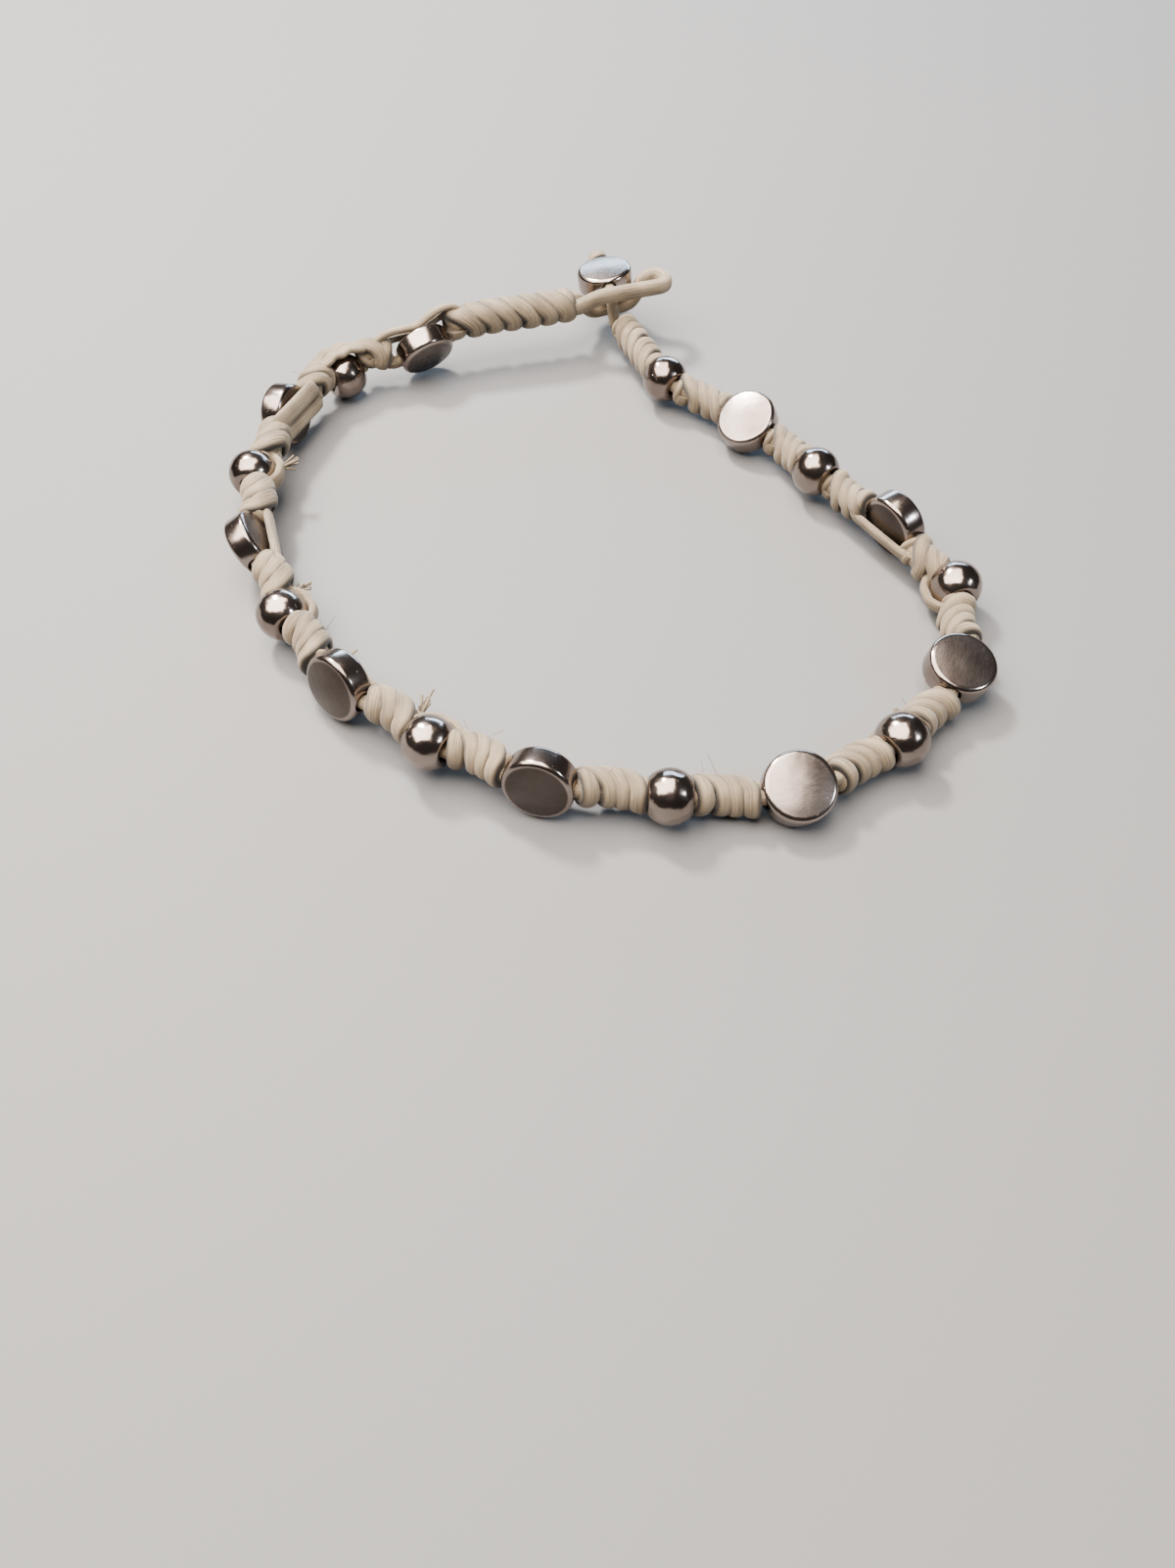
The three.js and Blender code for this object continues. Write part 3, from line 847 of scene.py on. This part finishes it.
def smooth(points, steps):
    """Points on a Catmull-Rom curve through the given ones."""
    ends = [points[0] * 2 - points[1], *points, points[-1] * 2 - points[-2]]
    path = []
    for i in range(1, len(ends) - 2):
        p0, p1, p2, p3 = ends[i - 1:i + 3]
        for k in range(steps):
            t = k / steps
            path.append(0.5 * (2 * p1 + (p2 - p0) * t + (2 * p0 - 5 * p1 + 4 * p2 - p3) * t * t
                               + (3 * p1 - p0 - 3 * p2 + p3) * t ** 3))
    return [*path, points[-1]]


def axis_length(axis):
    return sum((b - a).length for a, b in zip(axis, axis[1:]))


def axis_point(axis, share):
    """The point at a share of the way along evenly spaced points."""
    place_on = share * (len(axis) - 1)
    first = min(int(place_on), len(axis) - 2)
    return axis[first].lerp(axis[first + 1], place_on - first)


def halfway(axis):
    return axis[len(axis) // 2]


print("inputs of the winding tree:", ", ".join(WIND_INPUTS))

# %% [markdown]
# ## Loose fibres
#
# Waxed cord is never quite clean: short fibres stand off it, and where a cord was trimmed its end frays.
# Hair could be combed over each knot by hand, but there are nineteen knots. So the short ones are one bent
# hair, scattered over a knot's winding by a second tree, with a fixed seed for each knot. Longer ones are
# single thin cords, and a frayed end is a small bundle of them.

# %% Scattered fibres and frayed ends
HAIR = {"start": (0, 0, -0.05), "middle": (0.04, 0, 0.3), "end": (0.38, 0, 0.42)}
HAIR_RADIUS = 0.011
HAIR_TILT = 0.7
HAIR_SPIN = 6.28
HAIR_SCALE = {2: 0.5, 3: 1.5}  # the third and fourth inputs are the least and the most
HAIRS_PER_SQUARE_METRE = 6.0e5
WHISKER_STOPS = (0, 0.25, 0.5, 0.75, 1)
WHISKER_SAMPLES = 8
WHISKER_WIDTH = 0.035
FRAY = {"fibres": 9, "scatter": 0.14, "curl": 0.3, "length": (0.55, 1.0), "width": (0.09, 0.2)}


def fuzz_tree():
    sockets = {"Surface": "Geometry", "Density": "Float", "Seed": "Int", "Finish": "Material"}
    tree, inputs = open_tree("scatter_fibres", sockets, "Fibres")
    graph = Graph(tree)
    given = graph.add("NodeGroupInput")
    seed = given.out("Seed")
    bend = {name.capitalize(): [v * MM for v in point] for name, point in HAIR.items()}
    hair = graph.add("GeometryNodeCurveQuadraticBezier", None, {"Resolution": 4, **bend})
    ring = {"Resolution": 3, "Radius": HAIR_RADIUS * MM}
    ring = graph.add("GeometryNodeCurvePrimitiveCircle", None, ring)
    sweep = {"Curve": hair, "Profile Curve": ring, "Fill Caps": True}
    hair = graph.add("GeometryNodeCurveToMesh", None, sweep)
    spots = {"Mesh": given.out("Surface"), "Density": given.out("Density"), "Seed": seed}
    spots = graph.add("GeometryNodeDistributePointsOnFaces", {"distribute_method": "RANDOM"}, spots)
    turn = {"Min": (-HAIR_TILT, -HAIR_TILT, 0.0), "Max": (HAIR_TILT, HAIR_TILT, HAIR_SPIN), "Seed": seed}
    turn = graph.add("FunctionNodeRandomValue", {"data_type": "FLOAT_VECTOR"}, turn)
    turn = {"Rotation": spots.out("Rotation"), "Rotate By": turn}
    turn = graph.add("FunctionNodeRotateRotation", {"rotation_space": "LOCAL"}, turn)
    size = {**HAIR_SCALE, "Seed": seed}
    size = graph.add("FunctionNodeRandomValue", {"data_type": "FLOAT"}, size, output=1)
    hairs = {"Points": spots, "Instance": hair, "Rotation": turn, "Scale": size}
    close_tree(graph, graph.add("GeometryNodeInstanceOnPoints", None, hairs), given.out("Finish"))
    return tree, inputs


FUZZ, FUZZ_INPUTS = fuzz_tree()


def fuzz_on(surface, seed):
    """Short fibres that stand off a mesh."""
    values = {"Density": HAIRS_PER_SQUARE_METRE, "Seed": seed, "Finish": PLAIN_CORD}
    return grown_mesh(surface.copy(), "fuzz", FUZZ, FUZZ_INPUTS, values)


def whisker(start, direction, length, curl, width=WHISKER_WIDTH):
    """One loose fibre, bent steadily towards curl."""
    points = [start + direction * (length * t) + curl * (length * t * t) for t in WHISKER_STOPS]
    return cord_mesh(points, width, width, PLAIN_CORD, WHISKER_SAMPLES)


def frayed_end(start, direction, length, chance):
    """A bundle of fibres that starts together and spreads."""
    fibres = []
    for _ in range(FRAY["fibres"]):
        stray = Vector([chance.uniform(-1, 1) for _ in range(3)])
        share = chance.uniform(*FRAY["length"])
        width = chance.uniform(*FRAY["width"])
        root = start + stray * FRAY["scatter"]
        fibres.append(whisker(root, direction, length * share, stray * FRAY["curl"], width))
    return fibres


print("fibre tree made, nodes:", len(FUZZ.nodes))

# %% [markdown]
# ## The free runs
#
# Behind each bead the knotting cord runs free from one knot to the next, flat side to the bead. A
# straight cord would cut through the bead's shoulders. So the run is set back from the bead's middle by
# as much as the bead needs at each stop, and its two ends dive into the knots. Behind the last three
# beads two cords run side by side, and draw together at their ends.

# %% Free runs
RUN = {"width": 1.2, "thickness": 0.66}
PAIR = {"aside": 0.6, "widening": 1.15, "taper": 0.6}  # where two cords run side by side
PRESS = {"coin": 0.03, "round": -0.04}  # the room between a run and its bead, below 0 where it is pressed
SINK = {"coin": 0.1, "round": 0.5}  # how much closer to the strand a run's ends are
RUN_SMOOTHING = 4
RUN_SAMPLES = 40


def setback(bead, forward, aside=0.0):
    """How far behind the bead's middle a run's own middle lies, at a place along the bead."""
    spare = RUN["thickness"] / 2 + PRESS["coin" if bead["coin"] else "round"]
    t = max(-1.0, min(1.0, forward / bead["half"]))
    fall = (bead["hang"] - SEAT) * abs(t)
    if bead["coin"]:
        lean = bead["face"].dot(bead["side"])
        slope = aside * bead["face"].dot(bead["bore"].cross(bead["side"])) * math.copysign(1, lean)
        return (COIN["thickness"] / 2 + spare + slope) / abs(lean) + fall
    swell = (BARREL["diameter"] - BARREL["end_diameter"]) / 2 * (0.5 + 0.5 * math.sqrt(1 - t * t))
    return math.sqrt((BARREL["end_diameter"] / 2 + swell + spare) ** 2 - aside ** 2) + fall


def run_stops(bead):
    """The stops along a run, each with how much closer to the strand it is than the bead asks."""
    half, reach = bead["half"], bead["reach"]
    sunk = SINK["coin" if bead["coin"] else "round"]
    stops = [(-reach - 1.0, sunk + 0.4), (-reach - 0.3, sunk), (-half, 0.3 * sunk), (-0.5 * half, 0)]
    stops += [(0, 0), (0.5 * half, 0), (half, 0.3 * sunk)]
    return [*stops, (reach + 0.3, sunk + 0.1), (reach + 1.1, sunk + 0.7)]


def free_run(bead):
    """The cords behind a bead: one, or two side by side."""
    single = bead["cords"] == 1
    width = RUN["width"] if single else PAIR["widening"] * RUN["width"]
    cords = []
    for aside in (0.0,) if single else (-PAIR["aside"], PAIR["aside"]):
        points = []
        for forward, inward in run_stops(bead):
            taper = 1 + PAIR["taper"] - PAIR["taper"] * abs(forward) / bead["half"]
            spread = aside * min(1.0, taper)
            back = setback(bead, forward, spread) - inward
            over = bead["bore"].cross(bead["side"]) * spread
            points.append(bead["centre"] + bead["bore"] * forward - bead["side"] * back + over)
        points = smooth(points, RUN_SMOOTHING)
        cords.append(cord_mesh(
            points, width, RUN["thickness"], PLAIN_CORD, RUN_SAMPLES, phase=bead["side_angle"]))
    return cords


print("beads with two cords behind them:", sum(bead["cords"] == 2 for bead in beads))

# %% [markdown]
# ## Frayed ends on the runs
#
# Wherever a length of cord was trimmed, a frayed tuft stands off the run. They could be scattered at
# random, but there are only a few and each one catches the eye. So a table gives the bead that each one
# is behind, how far forward along the strand it starts, its length, and how steeply it lifts. Two longer
# single fibres beside each bead are random, with a seed from the bead's number.

# %% Tufts and whiskers
STRAYS = [
    {"bead": 1, "forward": 3.0, "length": 0.9, "lift": 0.2},
    {"bead": 3, "forward": 1.6, "length": 1.1, "lift": 0.1},
    {"bead": 6, "forward": -1.1, "length": 1.5, "lift": 0.5},
    {"bead": 7, "forward": -2.1, "length": 1.2, "lift": 0.6},
    {"bead": 11, "forward": 2.0, "length": 1.7, "lift": 0.7},
    {"bead": 12, "forward": 1.6, "length": 1.3, "lift": 0.4},
    {"bead": 13, "forward": 1.8, "length": 1.2, "lift": 0.5},
    {"bead": 15, "forward": 0.5, "length": 1.4, "lift": 0.3},
]
STRAY_SINK = 0.1
STRAY_SWAY = 0.3
STRAY_SEED = 100
WHISKERS = {"count": 2, "past_bead": (0.6, 2.4), "behind": 1.1, "length": (0.9, 2.2), "curl": 0.6}


def tuft(bead, row, chance):
    """The frayed end that stands off the run behind a bead."""
    forward = row["forward"]
    back = setback(bead, forward) - STRAY_SINK
    start = bead["centre"] + bead["bore"] * forward - bead["side"] * back
    sway = bead["bore"] * chance.uniform(-STRAY_SWAY, STRAY_SWAY)
    away = (UP * row["lift"] - bead["side"] + sway).normalized()
    return frayed_end(start, away, row["length"], chance)


def strays(number):
    """A bead's frayed ends, and its longer single fibres."""
    bead = beads[number - 1]
    chance = random.Random(STRAY_SEED + number)
    found = []
    for row in STRAYS:
        if row["bead"] == number:
            found += tuft(bead, row, chance)
    for _ in range(WHISKERS["count"]):
        forward = bead["reach"] + chance.uniform(*WHISKERS["past_bead"])
        start = bead["centre"] - bead["bore"] * forward - bead["side"] * WHISKERS["behind"]
        away = Vector([chance.uniform(-1, 1), chance.uniform(-1, 1), chance.uniform(0.1, 1)]).normalized()
        curl = Vector([chance.uniform(-WHISKERS["curl"], WHISKERS["curl"]) for _ in range(3)])
        length = chance.uniform(*WHISKERS["length"])
        found.append(whisker(start, (away - bead["side"]).normalized(), length, curl))
    return found


print("frayed ends to come:", len(STRAYS))

# %% [markdown]
# ## The knots
#
# Each knot is the second cord wound in touching bands round the core thread, from one bead to the next.
# It could be a ribbed tube, but then no turn would cross another. So the cord itself is wound. A thinner
# core inside closes the view between the bands, and a flattened ball of cord at both ends is pressed
# against the bead. The knot bows a little, as its solid does, and its far end carries on as the free run
# behind the next bead, so the two are one piece.

# %% Wound knots
KNOT = {"pitch": 1.32, "radius": 0.92, "overlap": 1.0, "thickness": 0.96, "lean": 0.34, "wobble": 0.08}
TAIL = {"pitch": 1.7, "radius": 1.0, "overlap": 1.02, "thickness": 1.06, "lean": 0.3, "wobble": 0.06}
KNOT_TUCK = 0.3
KNOT_STEPS = 24
BAND_SAMPLES = 34
REACH_OUT = 0.27  # how far a knot's winding goes past its solid, to touch the beads
CORE = {"diameter": 1.8, "inset": 0.16, "steps": 8, "samples": 12}
END = {"radius": 1.18, "length": 0.5, "inset": 0.36, "sides": 24, "steps": 12}
PHASES = {"head": 0.2, "tail": 0.1, "spread": 0.35}  # where the first turn of a knot starts, in radians
FUZZ_SEEDS = 97


def knot_end(bead, way):
    return bead["centre"] + bead["bore"] * (way * bead["reach"]) - bead["side"] * bead["hang"]


def side_between(first, second):
    return (first["side"] + second["side"]).normalized()


def bowed(start, end, side, bow):
    middle = (start + end) / 2 - side * (2 * bow)
    shares = [i / KNOT_STEPS for i in range(KNOT_STEPS + 1)]
    return [start.lerp(middle, t).lerp(middle.lerp(end, t), t) for t in shares]


def rounded_end(end, inside):
    """A flattened ball of cord that fills a knot's end up to the bead."""
    angles = [math.pi * i / END["steps"] for i in range(1, END["steps"])]
    arc = [(-math.cos(a), math.sin(a)) for a in angles]
    mesh = spun_mesh([(-1, 0), *arc, (1, 0)], END["sides"])
    inward = (inside - end).normalized()
    along_z = Matrix.Rotation(-math.pi / 2, 4, "Y")
    stretch = Matrix.Diagonal((END["radius"], END["radius"], END["length"], 1))
    turn = inward.to_track_quat("Z", "Y").to_matrix().to_4x4()
    mesh.transform(turn @ stretch @ along_z)
    mesh.transform(Matrix.Scale(MM, 4) @ Matrix.Translation(end + inward * END["inset"]))
    mesh.materials.append(WOUND_CORD)
    mesh.shade_smooth()
    return mesh


def knot_meshes(axis, size, phase):
    """The winding of one knot, the core inside it, and the rounds that close both of its ends."""
    first = axis[0] + (axis[0] - axis[1]).normalized() * REACH_OUT
    last = axis[-1] + (axis[-1] - axis[-2]).normalized() * REACH_OUT
    axis = [first, *axis[1:-1], last]
    length = axis_length(axis)
    bands = max(2, round(length / size["pitch"]))
    winding = cord_mesh(
        axis, size["overlap"] * length / bands, size["thickness"], WOUND_CORD, bands * BAND_SAMPLES,
        bands=bands, radius=size["radius"], lean=size["lean"], wobble=size["wobble"], phase=phase,
        tuck=KNOT_TUCK)
    inset = CORE["inset"] / length
    shares = [inset + (1 - 2 * inset) * i / CORE["steps"] for i in range(CORE["steps"] + 1)]
    points = [axis_point(axis, share) for share in shares]
    core = cord_mesh(points, CORE["diameter"], CORE["diameter"], WOUND_CORD, CORE["samples"])
    return [winding, core, rounded_end(first, axis[1]), rounded_end(last, axis[-2])]


def finish_knot(axis, size, phase, following, name, node):
    """A knot with its fibres and, where a bead follows, the free run behind that bead."""
    parts = knot_meshes(axis, size, phase)
    parts.append(fuzz_on(parts[0], len(name) + int(1000 * axis[0].x) % FUZZ_SEEDS))
    if following is not None:
        parts += free_run(beads[following]) + strays(following + 1)
    return finish_piece(joined(parts), name, node)


luck = random.Random(7)
knot_axes = []
for bead, following in zip(beads, beads[1:]):
    knot_axes.append(bowed(knot_end(bead, 1), knot_end(following, -1), side_between(bead, following), BOW))
head_axis = bowed(place(*HEAD), knot_end(beads[0], -1), beads[0]["side"], 0)
tail_axis = smooth([knot_end(beads[-1], 1), *(place(*point) for point in TAIL_ROUTE)], 8)

finish_knot(head_axis, KNOT, PHASES["head"], 0, "wound_head_knot", "head_knot")
for i, axis in enumerate(knot_axes, start=1):
    phase = luck.uniform(-PHASES["spread"], PHASES["spread"])
    finish_knot(axis, KNOT, phase, i, f"wound_knot_{i}", f"knot_{i}")
finish_knot(tail_axis, TAIL, PHASES["tail"], None, "wound_tail_knot", "tail_knot")
print("knots wound:", len(knot_axes) + 2)

# %% [markdown]
# ## The core thread
#
# The thread shows only at the mouths of the beads and at the neck, where it comes up through the loop
# into the button. A separate stub at each mouth would do for the looks, but one thread through all of
# them is what the object has, and it can't miss a hole. Its route repeats the solid's.

# %% Thread
THREAD = {"smoothing": 4, "samples": 700}
LOW_LEAD = 0.35  # how far straight out of a hanging bead the thread comes before it climbs


def neck_points():
    """From the stop knot through the button and down to the head knot."""
    def out(forward, below):
        return button["centre"] + button["bore"] * forward - button["face"] * below

    mouth = -COIN["diameter"] / 2
    points = [out(-mouth + GAP + STOP_KNOT_LENGTH * 0.8, 0), out(mouth - 0.1, 0)]
    points += [out(mouth - 0.45, 0.2), out(mouth - 0.65, 0.65), out(mouth - 0.65, 1.4)]
    points += [out(mouth - 0.75, 2.2), out(mouth - 1.1, 2.9)]
    towards_beads = (head_axis[1] - head_axis[0]).normalized()
    return [*points, head_axis[0] - towards_beads * 0.3, halfway(head_axis)]


def thread_points():
    points = neck_points()
    for i, bead in enumerate(beads):
        low = bead["hang"] > SEAT
        lead = bead["half"] + (LOW_LEAD if low else GAP / 2)
        points += [bead["centre"] - bead["bore"] * lead, bead["centre"] + bead["bore"] * lead]
        if i < len(knot_axes):
            following, axis = beads[i + 1], knot_axes[i]
            if low:
                points.append(axis[0] + bead["side"] * 0.3 - bead["bore"] * 0.1)
            points.append(halfway(axis) + side_between(bead, following) * 0.15)
            if following["hang"] > SEAT:
                points.append(axis[-1] + following["side"] * 0.3 + following["bore"] * 0.1)
    last = beads[-1]
    points.append(tail_axis[0] + last["side"] * 0.3 - last["bore"] * 0.1)
    return [*points, axis_point(tail_axis, 0.12), axis_point(tail_axis, 0.3)]


thread = smooth(thread_points(), THREAD["smoothing"])
thread_mesh = cord_mesh(thread, CORD, CORD, PLAIN_CORD, THREAD["samples"])
finish_piece(thread_mesh, "core_thread", "bead_thread")
print("thread made, length in mm:", round(axis_length(thread), 1))

# %% [markdown]
# ## The clasp
#
# The clasp is a thicker doubled cord that comes out of the tail knot, rises over the button's neck, turns
# and dips back under the button. A bent torus would be too even, so its route is a list of places, a
# little uneven, as a real loop is. Behind the button a small knot of two turns stops the thread, wound by
# the same tree as the others.

# %% Loop and stop knot
LOOP = {"heading": 17, "length": 9.9, "opening": 1.5, "cord": 1.3, "lift": 1.1, "dip": 2.0, "tip": 0.6}
LOOP_CORD = {"flattening": 0.94, "smoothing": 6, "samples": 150}
BEND_STEPS = 6
STOP = {"width": 0.95, "thickness": 0.6, "radius": 0.62, "lean": 0.1, "tuck": 0.4, "bands": 2, "samples": 60}
STOP_AXIS = {"starts": 0.5, "share": 0.45}  # the middle line of its turns is shorter than the knot


def loop_points():
    heading = level(LOOP["heading"])
    sideways = UP.cross(heading)
    start = place(*TAIL_ROUTE[-1]) + heading * (2 * GAP)
    spread = (LOOP["opening"] + LOOP["cord"]) / 2
    run = LOOP["length"] - spread - LOOP["cord"] / 2
    lift, dip, tip = LOOP["lift"], LOOP["dip"], LOOP["tip"]

    def at(forward, across, up):
        return start + heading * forward + sideways * across + UP * up

    points = [at(-0.9, -0.5, 0), at(0, -0.68, 0), at(0.4, -0.7, 0), at(1.1, -0.85, lift * 0.3)]
    points += [at(2.2, -1.1, lift * 0.75), at(3.6, -spread, lift), at(run - 0.8, -spread, lift)]
    for i in range(1, BEND_STEPS):
        turn = -math.pi / 2 + i / BEND_STEPS * math.pi
        height = lift + (tip - lift) * i / BEND_STEPS
        points.append(at(run - 0.3 + spread * math.cos(turn) * 0.9, spread * math.sin(turn), height))
    points += [at(run - 0.65, spread, tip * 0.4), at(run - 1.15, spread, -dip * 0.35)]
    points += [at(run - 1.75, spread, -dip * 0.8), at(5.2, spread + 0.1, -dip), at(3.6, spread + 0.1, -dip)]
    points += [at(2.4, spread, -dip * 0.97), at(1.4, 1.15, -dip * 0.55), at(0.8, 0.85, -dip * 0.2)]
    return [*points, at(0.4, 0.7, 0), at(0, 0.68, 0), at(-0.9, 0.5, 0)]


loop_path = smooth(loop_points(), LOOP_CORD["smoothing"])
loop_height = LOOP["cord"] * LOOP_CORD["flattening"]
loop = cord_mesh(loop_path, LOOP["cord"], loop_height, PLAIN_CORD, LOOP_CORD["samples"])
finish_piece(loop, "cord_loop", "clasp_loop")

first_turn = COIN["diameter"] / 2 + GAP + STOP_AXIS["starts"]
places = [first_turn + STOP_KNOT_LENGTH * share * STOP_AXIS["share"] for share in (0, 0.5, 1)]
stop_axis = [button["centre"] + button["bore"] * forward for forward in places]
stop = cord_mesh(stop_axis, material=WOUND_CORD, **STOP)
finish_piece(stop, "wound_stop_knot", "stop_knot")
print("loop and stop knot made; length of the loop's cord in mm:", round(axis_length(loop_path), 1))

# %% [markdown]
# ## The floor
#
# The bracelet lies on a plain pale floor, which shows its outline and catches its shadow. Grain or a
# pattern would draw the eye from small beads, so the floor has neither. It is one square, far larger than
# the bracelet, so that its edge isn't seen beside it.

# %% Floor
FLOOR_HALF = 1.5
floor_material, floor_graph = new_material("plain_floor")
finish_material(floor_graph, Base_Color=(0.132, 0.132, 0.134, 1), Roughness=0.75)
floor_mesh = bpy.data.meshes.new("floor")
corners = [(x * FLOOR_HALF, y * FLOOR_HALF, 0) for x, y in ((-1, -1), (1, -1), (1, 1), (-1, 1))]
floor_mesh.from_pydata(corners, [], [(0, 1, 2, 3)])
floor_mesh.materials.append(floor_material)
floor = add_object("floor", floor_mesh)
print("floor laid, metres across:", 2 * FLOOR_HALF)

# %% [markdown]
# ## The light
#
# Polished metal shows its lights as much as itself. A sky image could light it, but a few panels are
# easier to place. A large warm window overhead, a little to the left, leaves the broad highlight on every
# bead and the soft shadow under it. A small strong one behind at the left stands for the sun and gives
# the shadow its direction. A low cool window behind draws the blue line along the upper edges, and a
# small cool one at the right adds a second glint.

# %% Windows and the room's own light
WINDOWS = [
    {"name": "overhead_window", "where": (-0.13, 0.005, 0.24), "target": (-0.13, 0.005, 0),
     "size": (0.36, 0.28), "watts": 5.6, "color": (1.0, 0.89, 0.79)},
    {"name": "sun_window", "where": (-0.15, 0.22, 0.30), "target": (0, 0, 0),
     "size": (0.06, 0.06), "watts": 6.0, "color": (1.0, 0.95, 0.88)},
    {"name": "back_window", "where": (0.06, 0.34, 0.10), "target": (0, 0, 0),
     "size": (0.30, 0.08), "watts": 1.2, "color": (0.55, 0.76, 1.0)},
    {"name": "right_window", "where": (0.26, -0.10, 0.20), "target": (0, 0, 0),
     "size": (0.05, 0.05), "watts": 0.6, "color": (0.80, 0.90, 1.0)},
]
ROOM = {"color": (0.30, 0.27, 0.26, 1), "strength": 0.25}


def add_window(name, where, target, size, watts, color):
    light = bpy.data.lights.new(name, "AREA")
    light.shape = "RECTANGLE"
    light.size, light.size_y = size
    light.energy = watts
    light.color = color
    panel = add_object(name, light)
    panel.location = where
    panel.rotation_euler = (Vector(target) - Vector(where)).to_track_quat("-Z", "Y").to_euler()


for row in WINDOWS:
    add_window(**row)
world = bpy.data.worlds.new("room")
world.use_nodes = True
background = world.node_tree.nodes["Background"]
background.inputs["Color"].default_value = ROOM["color"]
background.inputs["Strength"].default_value = ROOM["strength"]
bpy.context.scene.world = world
print("windows placed:", len(WINDOWS))

# %% [markdown]
# ## The camera
#
# The camera stands close and looks steeply down, as one does at a bracelet on a table, so the near beads
# look larger than the far ones. A longer lens from further off would flatten that.

# %% Camera
CAMERA = {"place": (0, -72, 65), "degrees_down": 54, "lens": 26.97, "nearest": 0.005}
camera_data = bpy.data.cameras.new("camera")
camera_data.lens = CAMERA["lens"]
camera_data.clip_start = CAMERA["nearest"]
camera = add_object("camera", camera_data)
camera.location = place(*CAMERA["place"]) * MM
camera.rotation_euler = (math.radians(90 - CAMERA["degrees_down"]), 0, 0)
bpy.context.scene.camera = camera
print("camera at", [round(v, 4) for v in camera.location])
